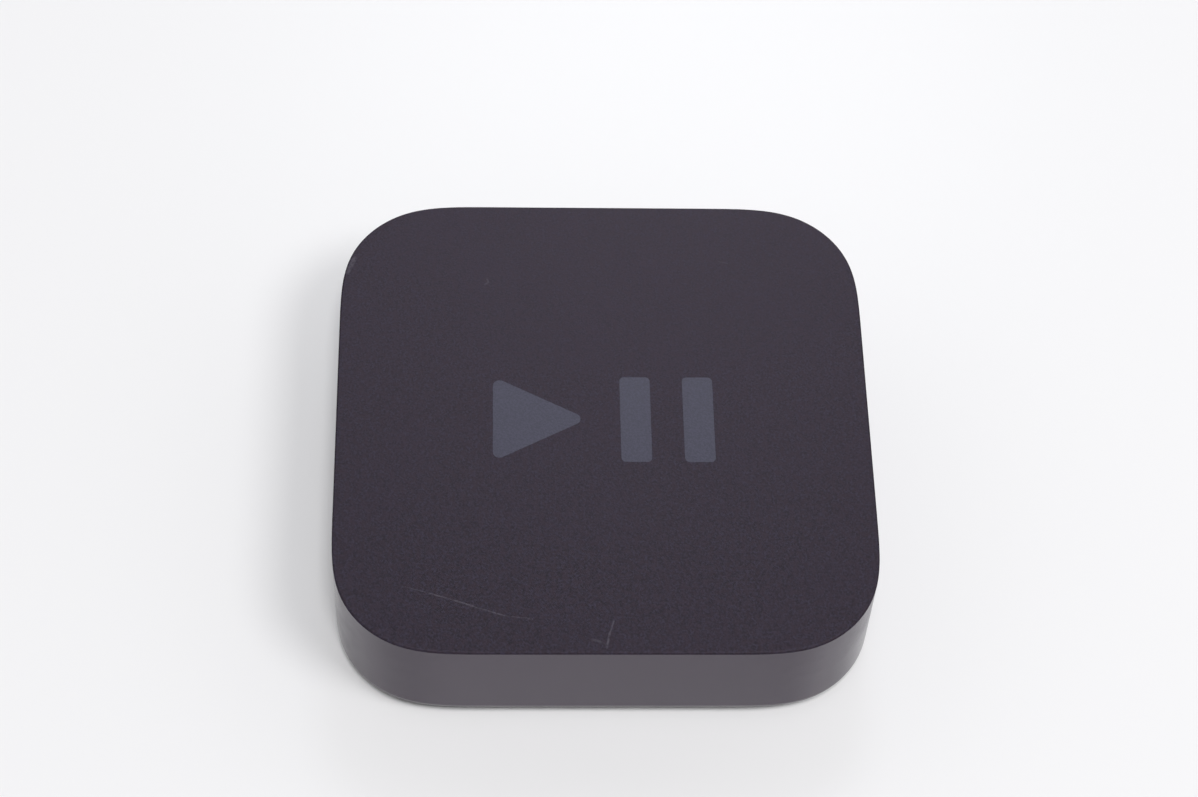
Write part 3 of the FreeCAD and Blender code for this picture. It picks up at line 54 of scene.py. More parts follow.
class Surface:
    """A Principled material with short names for the nodes that patterns are built from."""

    def __init__(self, name, color, roughness, metallic=0.0, **sockets):
        self.material = bpy.data.materials.new(name)
        self.material.use_nodes = True
        self.tree = self.material.node_tree
        self.shader = self.tree.nodes["Principled BSDF"]
        self.color = color
        self.shader.inputs["Base Color"].default_value = (*color, 1.0)
        self.shader.inputs["Roughness"].default_value = roughness
        self.shader.inputs["Metallic"].default_value = metallic
        for socket, value in sockets.items():
            self.shader.inputs[socket.replace("_", " ")].default_value = value
        self.place = self.node("ShaderNodeTexCoord").outputs["Object"]

    def node(self, kind, **settings):
        made = self.tree.nodes.new(kind)
        for key, value in settings.items():
            setattr(made, key, value)
        return made

    def put(self, socket, value):
        """Links an output to a socket, or sets a plain value on it."""
        if isinstance(value, bpy.types.NodeSocket):
            self.tree.links.new(value, socket)
        else:
            socket.default_value = value

    def math(self, operation, a, b=0.0, c=0.0, clamp=False):
        made = self.node("ShaderNodeMath", operation=operation, use_clamp=clamp)
        for socket, value in zip(made.inputs, (a, b, c)):
            self.put(socket, value)
        return made.outputs[0]

    def vector(self, operation, a, b=(0, 0, 0), scale=None):
        made = self.node("ShaderNodeVectorMath", operation=operation)
        self.put(made.inputs[0], a)
        self.put(made.inputs[1], b)
        if scale is not None:
            self.put(made.inputs["Scale"], scale)
        return made.outputs["Value" if operation in ("LENGTH", "DOT_PRODUCT") else "Vector"]

    def part(self, vector, axis):
        made = self.node("ShaderNodeSeparateXYZ")
        self.put(made.inputs[0], vector)
        return made.outputs["XYZ".index(axis)]

    def stretched(self, scale, turn=(0, 0, 0)):
        """Object coordinates turned and scaled, for grain that runs one way."""
        made = self.node("ShaderNodeMapping")
        self.put(made.inputs["Vector"], self.place)
        made.inputs["Rotation"].default_value = turn
        made.inputs["Scale"].default_value = scale
        return made.outputs[0]

    def noise(self, size, detail=3.0, roughness=0.55, vector=None, seed=0.0):
        """Noise between 0 and 1 whose features are about size metres across."""
        made = self.node("ShaderNodeTexNoise", noise_dimensions="4D")
        self.put(made.inputs["Vector"], self.place if vector is None else vector)
        made.inputs["W"].default_value = seed
        made.inputs["Scale"].default_value = 1.0 / size
        made.inputs["Detail"].default_value = detail
        made.inputs["Roughness"].default_value = roughness
        return made.outputs["Fac"]

    def cells(self, size, feature="F1", distance="EUCLIDEAN", output="Distance", randomness=1.0):
        """Cells about size metres across: the distance to their points, or another output."""
        made = self.node("ShaderNodeTexVoronoi", feature=feature)
        made.distance = distance
        self.put(made.inputs["Vector"], self.place)
        made.inputs["Scale"].default_value = 1.0 / size
        made.inputs["Randomness"].default_value = randomness
        return made.outputs[output]

    def ramp(self, value, low, high, out_low=0.0, out_high=1.0):
        """The value's range low to high spread smoothly over out_low to out_high, and clamped."""
        made = self.node("ShaderNodeMapRange", interpolation_type="SMOOTHSTEP", clamp=True)
        for socket, number in zip(made.inputs, (value, low, high, out_low, out_high)):
            self.put(socket, number)
        return made.outputs[0]

    def blend(self, share, a, b):
        """Colour a where share is 0 and colour b where it is 1."""
        made = self.node("ShaderNodeMix", data_type="RGBA", blend_type="MIX")
        self.put(made.inputs["Factor"], share)
        for name, value in (("A", a), ("B", b)):
            socket = [s for s in made.inputs if s.name == name and s.type == "RGBA"][0]
            self.put(socket, (*value, 1.0) if isinstance(value, tuple) else value)
        return [s for s in made.outputs if s.type == "RGBA"][0]

    def average(self, share, a, b):
        """The number a where share is 0 and b where it is 1."""
        return self.math("MULTIPLY_ADD", self.math("SUBTRACT", b, a), share, a)

    def segment(self, start, end, half_width):
        """1 on a thin stroke between two points in millimetres on the roof, 0 away from it."""
        a, b = Vector((*start, 0)) * MM, Vector((*end, 0)) * MM
        run = b - a
        flat = self.vector("MULTIPLY", self.place, (1, 1, 0))
        from_a = self.vector("SUBTRACT", flat, tuple(a))
        reach = self.vector("DOT_PRODUCT", from_a, tuple(run))
        along = self.math("DIVIDE", reach, run.length_squared, clamp=True)
        nearest = self.vector("SCALE", tuple(run), scale=along)
        away = self.vector("LENGTH", self.vector("SUBTRACT", from_a, nearest))
        return self.ramp(away, half_width * 0.4 * MM, half_width * MM, 1.0, 0.0)

    def bump(self, height, strength, depth):
        """Adds a relief of the given depth in metres over any relief already there."""
        made = self.node("ShaderNodeBump")
        made.inputs["Strength"].default_value = strength
        made.inputs["Distance"].default_value = depth
        self.put(made.inputs["Height"], height)
        before = self.shader.inputs["Normal"].links
        if before:
            self.put(made.inputs["Normal"], before[0].from_socket)
        self.put(self.shader.inputs["Normal"], made.outputs[0])

    def paint(self, color, roughness=None):
        """Links the base colour and, where it is given, the roughness."""
        self.put(self.shader.inputs["Base Color"], color)
        if roughness is not None:
            self.put(self.shader.inputs["Roughness"], roughness)

    def clouded(self, size, amount):
        """The base colour, lighter and darker by a share in soft clouds of a size."""
        clouds = self.ramp(self.noise(size), 0.3, 0.7)
        return self.blend(clouds, shade(self.color, 1 - amount), shade(self.color, 1 + amount))


def on(node, surface):
    """Gives a CAD node its material."""
    slots = NODES[node].data.materials
    slots.clear()
    slots.append(surface.material)


# ---------------------------------------------------------------- enclosure


ROOF_COLOR = (0.0110, 0.0094, 0.0172)
ROOF_BLOTCH = (0.0165, 0.0095, 0.0150)
ROOF_CLOUD = (0.016, 0.011, 0.024)
WALL_COLOR = (0.0215, 0.0160, 0.0285)
PALE_WEAR = (0.085, 0.080, 0.100)
GLOSS_TINT = (1.0, 0.85, 1.0, 1.0)

# the matt finish of the roof runs over the small round of its edge and stops between these depths
FINISH_STARTS, FINISH_FULL = 0.40 * MM, 0.30 * MM
GRAIN_SIZE = 0.42 * MM
GRAIN_RELIEF = 0.05 * MM
DUST_CELL = 1.7 * MM

# strokes of wear on the roof, in millimetres from its middle: start, end, half width, how pale
STROKES = [
    ((-36.1, -35.5), (-31.5, -36.9), 0.15, 0.30),
    ((-31.5, -36.9), (-27.1, -38.3), 0.19, 0.55),
    ((-27.1, -38.3), (-22.7, -39.9), 0.21, 0.60),
    ((-22.7, -39.9), (-18.3, -41.4), 0.19, 0.50),
    ((-18.3, -41.4), (-13.8, -42.0), 0.15, 0.28),
    ((-13.9, -42.0), (-13.5, -42.1), 0.32, 0.45),
    ((0.96, -42.4), (0.13, -45.0), 0.20, 0.45),
    ((0.13, -45.0), (-0.42, -47.8), 0.26, 0.55),
    ((-2.8, -46.2), (-1.6, -46.5), 0.34, 0.30),
    ((-1.6, -46.5), (-0.4, -47.3), 0.26, 0.35),
    ((-21.6, 32.0), (-21.2, 30.9), 0.24, 0.45),
    ((-21.2, 30.9), (-21.9, 30.3), 0.24, 0.35),
    ((22.8, 36.1), (24.4, 35.6), 0.20, 0.35),
    ((-47.9, 33.0), (-46.6, 36.4), 0.60, 0.50),
]


def shell():
    """One moulding: fine matt grain on the roof, polished walls, faint wear."""
    s = Surface("shell", WALL_COLOR, 0.2, Specular_Tint=GLOSS_TINT)
    up = s.part(s.node("ShaderNodeNewGeometry").outputs["Normal"], "Z")
    near_top = s.ramp(s.part(s.place, "Z"), TOP.z - FINISH_STARTS, TOP.z - FINISH_FULL)
    roof = s.math("MULTIPLY", near_top, s.ramp(up, 0.10, 0.35))
    wall = s.math("SUBTRACT", 1.0, roof)

    clouds = s.noise(9 * MM, detail=4.0)
    grain = s.noise(GRAIN_SIZE, detail=3.0, roughness=0.75)
    blotch = s.noise(1.0 * MM, detail=2.0, seed=6.0)
    roof_color = s.blend(s.ramp(grain, 0.40, 0.62), shade(ROOF_COLOR, 0.3), shade(ROOF_COLOR, 1.9))
    roof_color = s.blend(s.ramp(blotch, 0.42, 0.60, 0.0, 0.6), roof_color, ROOF_BLOTCH)
    roof_color = s.blend(s.ramp(clouds, 0.35, 0.75, 0.0, 0.2), roof_color, ROOF_CLOUD)
    mottle = s.noise(0.9 * MM, detail=4.0, roughness=0.7, seed=8.0)
    wall_color = s.blend(s.ramp(mottle, 0.3, 0.7), shade(WALL_COLOR, 0.85), shade(WALL_COLOR, 1.2))
    color = s.blend(roof, wall_color, roof_color)

    wear = 0.0
    for start, end, half_width, pale in STROKES:
        wear = s.math("MAXIMUM", s.math("MULTIPLY", s.segment(start, end, half_width), pale), wear)
    broken = s.ramp(s.noise(0.7 * MM, detail=3.0, seed=2.0), 0.35, 0.6, 0.15, 1.0)
    strokes = s.math("MULTIPLY", s.math("MULTIPLY", wear, broken), roof)
    slanted = s.stretched((260, 6000, 900), (0, 0, 0.5))
    hairlines = s.ramp(s.noise(1.0, detail=2.0, vector=slanted, seed=1.0), 0.71, 0.75, 0.0, 0.05)
    chosen = s.ramp(s.part(s.cells(DUST_CELL, output="Color"), "X"), 0.90, 0.93, 0.0, 0.12)
    dust = s.math("MULTIPLY", chosen, s.ramp(s.cells(DUST_CELL), 0.03, 0.07, 1.0, 0.0))
    faint = s.math("MULTIPLY", s.math("ADD", hairlines, dust), roof)
    color = s.blend(s.math("ADD", strokes, faint, clamp=True), color, PALE_WEAR)

    rim = s.ramp(up, 0.93, 0.995, 1.0, 0.0)
    roof_rough = s.average(rim, s.ramp(grain, 0.3, 0.7, 0.34, 0.50), 0.85)
    wall_rough = s.ramp(s.noise(14 * MM, detail=6.0, roughness=0.65, seed=7.0), 0.35, 0.7, 0.14, 0.26)
    s.paint(color, s.average(roof, wall_rough, roof_rough))
    s.bump(s.math("MULTIPLY", grain, roof), 0.5, GRAIN_RELIEF)
    s.bump(s.math("MULTIPLY", s.noise(3.0 * MM, detail=2.0, seed=5.0), wall), 0.25, 0.03 * MM)
    s.bump(strokes, 0.5, 0.02 * MM)
    return s


def print_ink(name, color, roughness):
    """A thin printed film that follows the grain under it and is slightly uneven."""
    s = Surface(name, color, roughness)
    grain = s.noise(GRAIN_SIZE, detail=3.0, roughness=0.75)
    s.paint(
        s.blend(s.ramp(grain, 0.40, 0.62), shade(color, 0.84), shade(color, 1.14)),
        s.ramp(grain, 0.3, 0.7, roughness - 0.05, roughness + 0.08),
    )
    s.bump(grain, 0.5, GRAIN_RELIEF)
    return s


def moulded_plastic(name, color, roughness=0.45, grain=0.25 * MM, depth=0.02 * MM, scuffs=0.35):
    """Moulded plastic with a fine spark-eroded grain and a few pale rubs."""
    s = Surface(name, color, roughness)
    fine = s.noise(grain, detail=3.0)
    clouds = s.clouded(6 * MM, 0.12)
    rubbed = s.ramp(s.noise(11 * MM, detail=6.0, roughness=0.7, seed=5.0), 0.62, 0.72, 0.0, scuffs)
    paler = tuple(min(1.0, channel * 1.5 + 0.01) for channel in color)
    s.paint(s.blend(rubbed, clouds, paler), s.ramp(fine, 0.3, 0.7, roughness - 0.06, roughness + 0.08))
    s.bump(fine, 0.3, depth)
    return s


def soft_rubber():
    """Matt rubber: pebbled grain, dust caught in it, and a slight bloom."""
    s = Surface("foot_rubber", (0.020, 0.019, 0.021), 0.78, Specular_IOR_Level=0.35)
    pebbles = s.cells(0.7 * MM, feature="SMOOTH_F1")
    bloom = s.ramp(s.noise(12 * MM, detail=5.0, roughness=0.65), 0.45, 0.75, 0.0, 0.45)
    lint_cell = s.cells(2.3 * MM, output="Color")
    lint = s.ramp(s.cells(2.3 * MM), 0.03, 0.06, 1.0, 0.0)
    lint = s.math("MULTIPLY", lint, s.ramp(s.part(lint_cell, "Y"), 0.85, 0.9))
    color = s.blend(bloom, (0.018, 0.017, 0.019), (0.040, 0.038, 0.040))
    color = s.blend(s.math("MULTIPLY", lint, 0.6), color, (0.25, 0.24, 0.23))
    s.paint(color, s.ramp(pebbles, 0.1, 0.6, 0.70, 0.88))
    s.bump(pebbles, 0.35, 0.05 * MM)
    return s


# ---------------------------------------------------------------- metals

LINES_PER_METRE = 9000


def plated(name, color, roughness=0.28, run=(1, 0.12, 1), tarnish=0.25):
    """Plated or rolled metal: fine rolling lines one way, soft spots of tarnish."""
    s = Surface(name, color, roughness, metallic=1.0)
    lines = s.noise(1.0, detail=2.0, vector=s.stretched(tuple(LINES_PER_METRE * share for share in run)))
    spots = s.ramp(s.noise(2.2 * MM, detail=5.0, seed=3.0), 0.45, 0.75, 0.0, tarnish)
    dull = shade(color, 0.55)
    s.paint(s.blend(spots, color, dull), s.ramp(lines, 0.3, 0.7, roughness - 0.07, roughness + 0.10))
    s.bump(lines, 0.12, 0.01 * MM)
    return s


# ---------------------------------------------------------------- boards and components

PACKAGE_BLACK = (0.017, 0.017, 0.019)
TAPE_LAP = 2.3 * MM
WIRE_PITCH = 0.42 * MM
WOUND_FROM, WOUND_TO = 2.9 * MM, 7.4 * MM
CABLE_PITCH = 0.5 * MM


def solder_mask(name, color, copper):
    """A circuit board: copper runs under a coloured mask, vias, and a laminate core at its edges."""
    s = Surface(name, color, 0.32)
    wide = s.cells(5.2 * MM, distance="CHEBYCHEV", feature="F2")
    near = s.cells(5.2 * MM, distance="CHEBYCHEV")
    gap = s.math("SUBTRACT", wide, near)
    tracks = s.ramp(s.math("PINGPONG", s.math("MULTIPLY", gap, 9.0), 1.0), 0.42, 0.55)
    pour = s.ramp(s.noise(8 * MM, detail=1.0, seed=6.0), 0.5, 0.52)
    copper_share = s.math("MULTIPLY", tracks, s.ramp(pour, 0.0, 1.0, 0.55, 1.0))
    tinted = s.blend(copper_share, color, copper)
    via = s.cells(1.9 * MM, randomness=0.8)
    ring = s.math("MULTIPLY", s.ramp(via, 0.10, 0.13), s.ramp(via, 0.18, 0.21, 1.0, 0.0))
    chosen = s.ramp(s.part(s.cells(1.9 * MM, output="Color", randomness=0.8), "X"), 0.66, 0.70)
    ring = s.math("MULTIPLY", ring, chosen)
    masked = s.blend(s.math("MULTIPLY", ring, 0.8), tinted, (0.45, 0.42, 0.32))
    normal = s.node("ShaderNodeNewGeometry").outputs["Normal"]
    facing = s.ramp(s.math("ABSOLUTE", s.part(normal, "Z")), 0.4, 0.6)
    weave = s.noise(0.3 * MM, vector=s.stretched((1, 1, 6)))
    core = s.blend(weave, (0.22, 0.20, 0.12), (0.34, 0.31, 0.20))
    s.paint(s.blend(facing, core, masked), s.ramp(s.noise(3 * MM), 0.3, 0.7, 0.26, 0.40))
    s.bump(s.math("ADD", s.math("MULTIPLY", tracks, 0.6), ring), 0.3, 0.03 * MM)
    return s


def sandy(s):
    """Fine sand in the base colour, and the noise that it comes from."""
    sand = s.noise(0.12 * MM, detail=2.0)
    return s.blend(s.ramp(sand, 0.4, 0.7), shade(s.color, 0.8), shade(s.color, 1.7)), sand


def epoxy_package(name):
    """A moulded chip package with a sandy surface."""
    s = Surface(name, PACKAGE_BLACK, 0.5)
    body, sand = sandy(s)
    s.paint(body, s.ramp(s.noise(1.6 * MM, seed=4.0), 0.3, 0.7, 0.42, 0.58))
    s.bump(sand, 0.4, 0.015 * MM)
    return s


def legged_package(name, leg_height):
    """A package whose lowest stretch above the board is its tinned legs."""
    s = Surface(name, PACKAGE_BLACK, 0.5)
    leg_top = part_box("main_board")[1].z + leg_height
    legs = s.ramp(s.part(s.place, "Z"), leg_top, leg_top + 0.05 * MM, 1.0, 0.0)
    body, sand = sandy(s)
    tin = s.blend(s.noise(0.6 * MM, seed=2.0), (0.50, 0.50, 0.48), (0.70, 0.69, 0.66))
    s.paint(s.blend(legs, body, tin), s.ramp(s.noise(1.6 * MM, seed=4.0), 0.3, 0.7, 0.32, 0.5))
    s.put(s.shader.inputs["Metallic"], legs)
    s.bump(sand, 0.3, 0.015 * MM)
    return s


def can_top(name, sleeve, print_color):
    """A capacitor: bare metal crown, sleeve with a pale polarity band down one side."""
    s = Surface(name, sleeve, 0.35)
    normal = s.node("ShaderNodeNewGeometry").outputs["Normal"]
    crown = s.ramp(s.part(normal, "Z"), 0.75, 0.9)
    band = s.ramp(s.part(normal, "X"), 0.90, 0.92)
    wrinkle = s.noise(0.9 * MM, detail=3.0, vector=s.stretched((1, 1, 0.15)))
    skin = s.blend(s.ramp(wrinkle, 0.3, 0.7), shade(sleeve, 0.8), shade(sleeve, 1.25))
    skin = s.blend(band, skin, print_color)
    metal = s.blend(s.noise(0.8 * MM, seed=2.0), (0.60, 0.60, 0.60), (0.78, 0.78, 0.78))
    s.paint(s.blend(crown, skin, metal), s.ramp(wrinkle, 0.3, 0.7, 0.25, 0.42))
    s.put(s.shader.inputs["Metallic"], crown)
    s.bump(wrinkle, 0.2, 0.04 * MM)
    return s


def taped_winding():
    """Overlapping turns of yellow insulating tape."""
    s = Surface("winding_tape", (0.72, 0.47, 0.05), 0.3)
    seam = s.math("PINGPONG", s.math("MULTIPLY", s.part(s.place, "X"), 1 / TAPE_LAP), 1.0)
    edge = s.ramp(seam, 0.0, 0.06, 1.0, 0.0)
    film = s.noise(3 * MM, detail=4.0)
    color = s.blend(s.ramp(film, 0.3, 0.7), (0.62, 0.38, 0.03), (0.80, 0.55, 0.08))
    color = s.blend(s.math("MULTIPLY", edge, 0.6), color, (0.30, 0.18, 0.02))
    s.paint(color, s.ramp(film, 0.3, 0.7, 0.22, 0.40))
    s.bump(s.math("SUBTRACT", 1.0, edge), 0.4, 0.05 * MM)
    return s


def ferrite():
    """Sintered ferrite: dull grey-black with a few glints painted in as pale specks."""
    s = Surface("core_ferrite", (0.045, 0.045, 0.048), 0.55)
    sinter = s.noise(0.2 * MM, detail=4.0, roughness=0.7)
    # painted highlight: pale specks in the base colour stand in for glints off the grains
    painted_glint = s.ramp(s.cells(0.35 * MM), 0.04, 0.08, 1.0, 0.0)
    base = s.blend(s.ramp(sinter, 0.35, 0.65), (0.030, 0.030, 0.032), (0.070, 0.070, 0.073))
    color = s.blend(s.math("MULTIPLY", painted_glint, 0.3), base, (0.25, 0.25, 0.26))
    s.paint(color, s.ramp(sinter, 0.3, 0.7, 0.45, 0.65))
    s.bump(sinter, 0.4, 0.03 * MM)
    return s


def enamelled_copper():
    """Turns of enamelled wire round the choke's legs, with bare ferrite above and below; the copper is
    painted darker in the grooves between turns and lighter on their crests.
    """
    s = Surface("choke_windings", (0.42, 0.15, 0.05), 0.3)
    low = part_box("mains_choke")[0].z
    height = s.math("SUBTRACT", s.part(s.place, "Z"), low)
    above = s.ramp(height, WOUND_FROM, WOUND_FROM + 0.1 * MM)
    below = s.ramp(height, WOUND_TO - 0.1 * MM, WOUND_TO, 1.0, 0.0)
    wound = s.math("MULTIPLY", above, below)
    turns = s.math("SINE", s.math("MULTIPLY", height, 2 * math.pi / WIRE_PITCH))
    # painted shade and highlight: the copper colour follows each turn's profile, dark in the grooves and
    # light on the crests
    wire_crest_and_painted_shade = s.ramp(turns, -1.0, 1.0)
    copper = s.blend(wire_crest_and_painted_shade, (0.16, 0.05, 0.015), (0.50, 0.19, 0.07))
    stone = s.blend(s.noise(0.2 * MM), (0.030, 0.030, 0.032), (0.065, 0.065, 0.068))
    s.paint(s.blend(wound, stone, copper), s.ramp(s.noise(1.0 * MM), 0.3, 0.7, 0.25, 0.45))
    s.bump(s.math("MULTIPLY", wire_crest_and_painted_shade, wound), 0.6, 0.08 * MM)
    return s


def fired_chip():
    """Ceramic chip capacitors: tan bodies with a fine grain."""
    s = Surface("ceramic_chips", (0.30, 0.21, 0.13), 0.4)
    grain = s.noise(0.15 * MM)
    s.paint(
        s.blend(s.ramp(grain, 0.3, 0.7), (0.22, 0.15, 0.09), (0.38, 0.28, 0.18)),
        s.ramp(grain, 0.3, 0.7, 0.32, 0.5),
    )
    s.bump(grain, 0.3, 0.02 * MM)
    return s


def clear_moulding(name, color, roughness=0.06):
    """Clear moulded plastic with faint flow lines."""
    s = Surface(name, color, roughness, Transmission_Weight=0.85, IOR=1.49)
    flow = s.noise(1.2 * MM, detail=3.0, vector=s.stretched((1, 0.2, 1)))
    s.paint(
        s.blend(s.ramp(flow, 0.3, 0.7), shade(color, 0.92), color),
        s.ramp(flow, 0.3, 0.7, roughness, roughness + 0.08),
    )
    s.bump(flow, 0.15, 0.02 * MM)
    return s


def flat_cable():
    """A flat cable: pale film with its conductors showing through as stripes."""
    s = Surface("flat_cable", (0.75, 0.75, 0.71), 0.35)
    stripe = s.math("SINE", s.math("MULTIPLY", s.part(s.place, "X"), 2 * math.pi / CABLE_PITCH))
    stripe = s.ramp(stripe, 0.0, 0.4)
    film = s.noise(2 * MM, detail=3.0)
    color = s.blend(s.math("MULTIPLY", stripe, 0.5), (0.78, 0.78, 0.74), (0.52, 0.50, 0.46))
    s.paint(color, s.ramp(film, 0.3, 0.7, 0.28, 0.42))
    s.bump(stripe, 0.3, 0.02 * MM)
    return s


def paper_laminate():
    """The supply's single-sided board: tan laminate with fibre and pale holes."""
    s = Surface("paper_laminate", (0.36, 0.26, 0.13), 0.5)
    fibre = s.noise(1.0, detail=4.0, vector=s.stretched((900, 5000, 900), (0, 0, 0.4)))
    holes = s.cells(2.6 * MM, randomness=0.7)
    hole = s.ramp(holes, 0.12, 0.15, 1.0, 0.0)
    base = s.blend(s.ramp(fibre, 0.3, 0.7), (0.28, 0.19, 0.09), (0.42, 0.31, 0.17))
    color = s.blend(s.math("MULTIPLY", hole, 0.7), base, (0.50, 0.48, 0.44))
    s.paint(color, s.ramp(fibre, 0.3, 0.7, 0.42, 0.58))
    s.bump(fibre, 0.2, 0.02 * MM)
    return s


def dress():
    """Every node of the model gets its surface."""
    black = (0.016, 0.016, 0.017)
    nickel, tin, gold = (0.66, 0.64, 0.59), (0.68, 0.68, 0.66), (0.86, 0.63, 0.26)
    on("top_case", shell())
    on("top_mark", print_ink("roof_print", (0.044, 0.0425, 0.070), 0.34))
    on("port_symbols", print_ink("rear_print", (0.16, 0.16, 0.17), 0.40))
    on("bottom_cover", moulded_plastic("cover_plastic", (0.018, 0.017, 0.019), 0.52, 0.4 * MM, 0.04 * MM))
    on("rubber_foot", soft_rubber())
    board = solder_mask("green_board", (0.012, 0.070, 0.038), (0.030, 0.150, 0.075))
    for node in ("main_board", "sensor_board"):
        on(node, board)
    on("wireless_module", solder_mask("blue_board", (0.010, 0.022, 0.075), (0.020, 0.050, 0.150)))
    on("power_board", paper_laminate())
    chips = epoxy_package("chip_epoxy")
    for node in ("processor", "memory_chips", "controller_chips"):
        on(node, chips)
    on("power_coils", moulded_plastic("iron_powder", (0.060, 0.060, 0.064), 0.5, 0.15 * MM))
    on("bridge_rectifier", legged_package("rectifier_package", 0.5 * MM))
    on("switching_chip", legged_package("switch_package", 0.5 * MM))
    on("ethernet_magnetics", legged_package("magnetics_block", 0.3 * MM))
    for node in ("processor_shield", "wireless_shield"):
        on(node, plated(node + "_tin", tin, 0.30))
    on("thermal_pads", moulded_plastic("thermal_silicone", (0.40, 0.44, 0.50), 0.7, 0.3 * MM))
    on("heat_spreader", plated("rolled_aluminium", (0.74, 0.74, 0.75), 0.36, (1, 0.06, 1), 0.15))
    on("board_capacitors", can_top("bare_cans", (0.62, 0.62, 0.63), (0.05, 0.05, 0.12)))
    on("output_capacitors", can_top("sleeved_cans", (0.016, 0.030, 0.022), (0.55, 0.52, 0.40)))
    on("mains_capacitor", can_top("mains_sleeve", (0.020, 0.022, 0.040), (0.55, 0.55, 0.52)))
    on("ceramic_capacitors", fired_chip())
    on("crystals", plated("crystal_lids", nickel, 0.25))
    window = moulded_plastic("infrared_epoxy", (0.022, 0.010, 0.013), 0.14, 0.6 * MM, 0.01 * MM, 0.1)
    on("ir_receiver", window)
    on("status_led", moulded_plastic("lamp_package", (0.82, 0.80, 0.66), 0.35, 0.2 * MM))
    on("led_light_pipe", clear_moulding("light_pipe_clear", (0.92, 0.94, 0.95)))
    on("optical_emitter", clear_moulding("emitter_red", (0.60, 0.03, 0.03), 0.10))
    nylon = moulded_plastic("natural_nylon", (0.72, 0.69, 0.60), 0.42, 0.3 * MM)
    for node in ("sensor_connector", "power_socket", "power_plug"):
        on(node, nylon)
    on("sensor_ribbon", flat_cable())
    for node in ("hdmi_shell", "usb_shell"):
        on(node, plated(node + "_nickel", nickel, 0.26))
    on("ethernet_shell", plated("network_shield_tin", tin, 0.30))
    contact = plated("gold_contact", gold, 0.20, (1, 0.2, 1), 0.12)
    for node in ("hdmi_contacts", "usb_contacts", "ethernet_contacts", "antenna_elements"):
        on(node, contact)
    insulator = moulded_plastic("connector_black", black, 0.40, 0.2 * MM)
    for node in ("hdmi_tongue", "usb_tongue", "optical_housing", "ethernet_insert", "power_inlet"):
        on(node, insulator)
    on("optical_shutter", moulded_plastic("shutter_black", (0.020, 0.020, 0.021), 0.34, 0.25 * MM))
    steel = plated("spring_steel", (0.55, 0.55, 0.56), 0.3, (1, 1, 0.2), 0.35)
    for node in ("shutter_pin", "shutter_spring"):
        on(node, steel)
    on("power_pins", plated("pin_nickel", (0.74, 0.73, 0.69), 0.18, (1, 0.15, 1), 0.15))
    on("transformer_core", ferrite())
    on("transformer_bobbin", moulded_plastic("bobbin_black", black, 0.45, 0.25 * MM))
    on("transformer_winding", taped_winding())
    on("mains_choke", enamelled_copper())
    on("suppression_capacitor", moulded_plastic("yellow_box", (0.72, 0.48, 0.06), 0.35, 0.5 * MM))
    on("mains_fuse", moulded_plastic("fuse_tube", (0.70, 0.70, 0.66), 0.30, 0.4 * MM))
    on("power_insulator", moulded_plastic("fibre_sheet", (0.030, 0.030, 0.032), 0.55, 0.5 * MM, 0.04 * MM))
    on("power_leads", moulded_plastic("lead_jacket", (0.028, 0.028, 0.030), 0.40, 0.4 * MM))
    on("antenna_carriers", moulded_plastic("carrier_black", black, 0.5, 0.3 * MM))
    on("antenna_leads", moulded_plastic("coax_jacket", black, 0.45, 0.3 * MM))
    on("board_screws", plated("black_zinc", (0.10, 0.10, 0.11), 0.35, (1, 1, 0.3), 0.3))


# ---------------------------------------------------------------- stage, light and camera

FLOOR_HALF = 4.0
FLOOR_BELOW = 0.05 * MM

ROOM_COLOR = (0.985, 0.98, 1.0)
ROOM_WALLS, ROOM_CEILING = 0.56, 0.12
WALL_TOP = (0.50, 0.80)
RIM_SLOPE = (0.0, -0.30, 1.0)
BRIGHT_SIDE = (0.10, 0.05, 0.0)

WHITE = (1.0, 0.995, 0.99)
LAMP_SIZE = 1.20
LAMPS = [
    ("key", (0.06, -1.40, 3.74), LAMP_SIZE, 86.0, WHITE),
    ("side", (1.50, -0.95, 2.62), LAMP_SIZE, 31.0, WHITE),
    ("back", (0.10, 1.10, 1.20), 0.50, 2.0, (0.88, 0.93, 1.0)),
]

# the camera's place from the middle of the roof, its turn about X, Y and Z, and its lens
CAMERA_FROM_TOP = Vector((-0.02269, -0.28973, 0.43892))
CAMERA_TURN = (0.590867, -0.036845, -0.019555)
LENS_MM = 86.153
SENSOR_MM = 36.0


def floor():
    """A wide pale plane that the player stands on."""
    half = FLOOR_HALF
    corners = [(-half, -half, 0), (half, -half, 0), (half, half, 0), (-half, half, 0)]
    mesh = bpy.data.meshes.new("floor")
    mesh.from_pydata(corners, [], [(0, 1, 2, 3)])
    made = bpy.data.objects.new("floor", mesh)
    bpy.context.scene.collection.objects.link(made)
    made.location.z = LOW.z - FLOOR_BELOW
    s = Surface("pale_floor", (0.86, 0.86, 0.87), 0.28, Specular_IOR_Level=0.4)
    s.paint(s.clouded(0.5, 0.008))
    mesh.materials.append(s.material)


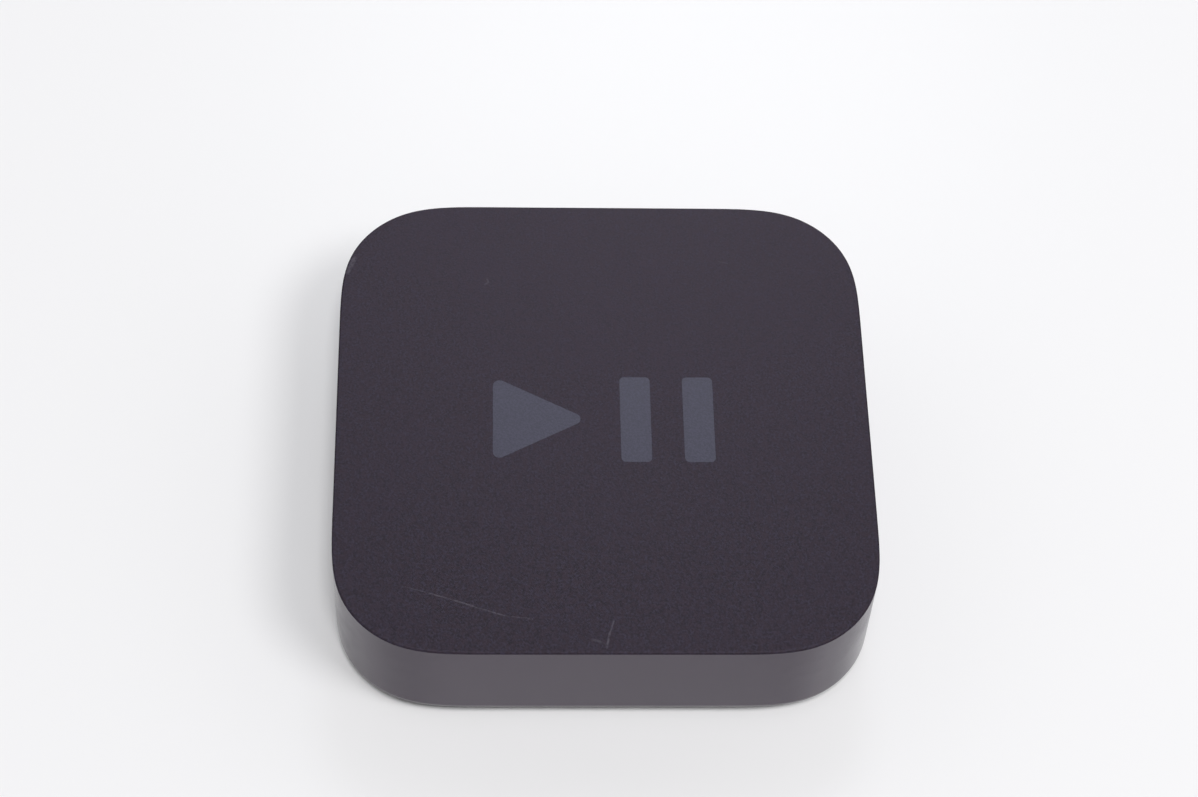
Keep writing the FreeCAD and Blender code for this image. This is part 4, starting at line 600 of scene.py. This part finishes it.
def area_light(name, place, size, power, color):
    """A round soft lamp aimed at the middle of the roof."""
    data = bpy.data.lights.new(name, "AREA")
    data.shape = "DISK"
    data.size = size
    data.energy = power
    data.color = color
    made = bpy.data.objects.new(name, data)
    made.location = place
    made.rotation_euler = (TOP - Vector(place)).to_track_quat("-Z", "Y").to_euler()
    bpy.context.scene.collection.objects.link(made)


def surround():
    """A room with pale walls and a dim ceiling, a little brighter on the right."""
    world = bpy.data.worlds.new("surround")
    world.use_nodes = True
    tree = world.node_tree
    background = tree.nodes["Background"]
    background.inputs["Color"].default_value = (*ROOM_COLOR, 1.0)
    place = tree.nodes.new("ShaderNodeTexCoord").outputs["Generated"]
    above_rim = tree.nodes.new("ShaderNodeVectorMath")
    above_rim.operation = "DOT_PRODUCT"
    tree.links.new(place, above_rim.inputs[0])
    above_rim.inputs[1].default_value = RIM_SLOPE
    rise = tree.nodes.new("ShaderNodeMapRange")
    rise.interpolation_type = "SMOOTHSTEP"
    tree.links.new(above_rim.outputs["Value"], rise.inputs[0])
    for socket, value in zip(rise.inputs[1:5], (*WALL_TOP, ROOM_WALLS, ROOM_CEILING)):
        socket.default_value = value
    side = tree.nodes.new("ShaderNodeVectorMath")
    side.operation = "DOT_PRODUCT"
    tree.links.new(place, side.inputs[0])
    side.inputs[1].default_value = BRIGHT_SIDE
    share = tree.nodes.new("ShaderNodeMath")
    share.operation = "MULTIPLY_ADD"
    tree.links.new(side.outputs["Value"], share.inputs[0])
    tree.links.new(rise.outputs[0], share.inputs[1])
    tree.links.new(rise.outputs[0], share.inputs[2])
    tree.links.new(share.outputs[0], background.inputs["Strength"])
    bpy.context.scene.world = world


def light():
    """Soft lamps in front, at the right and low behind, in a pale room."""
    surround()
    for lamp in LAMPS:
        area_light(*lamp)


def camera():
    """The photograph's view."""
    data = bpy.data.cameras.new("camera")
    data.lens = LENS_MM
    data.sensor_width = SENSOR_MM
    data.clip_start = 0.01
    made = bpy.data.objects.new("camera", data)
    made.location = TOP + CAMERA_FROM_TOP
    made.rotation_euler = CAMERA_TURN
    bpy.context.scene.collection.objects.link(made)
    bpy.context.scene.camera = made


dress()
floor()
light()
camera()
bpy.context.scene.view_settings.view_transform = "Standard"
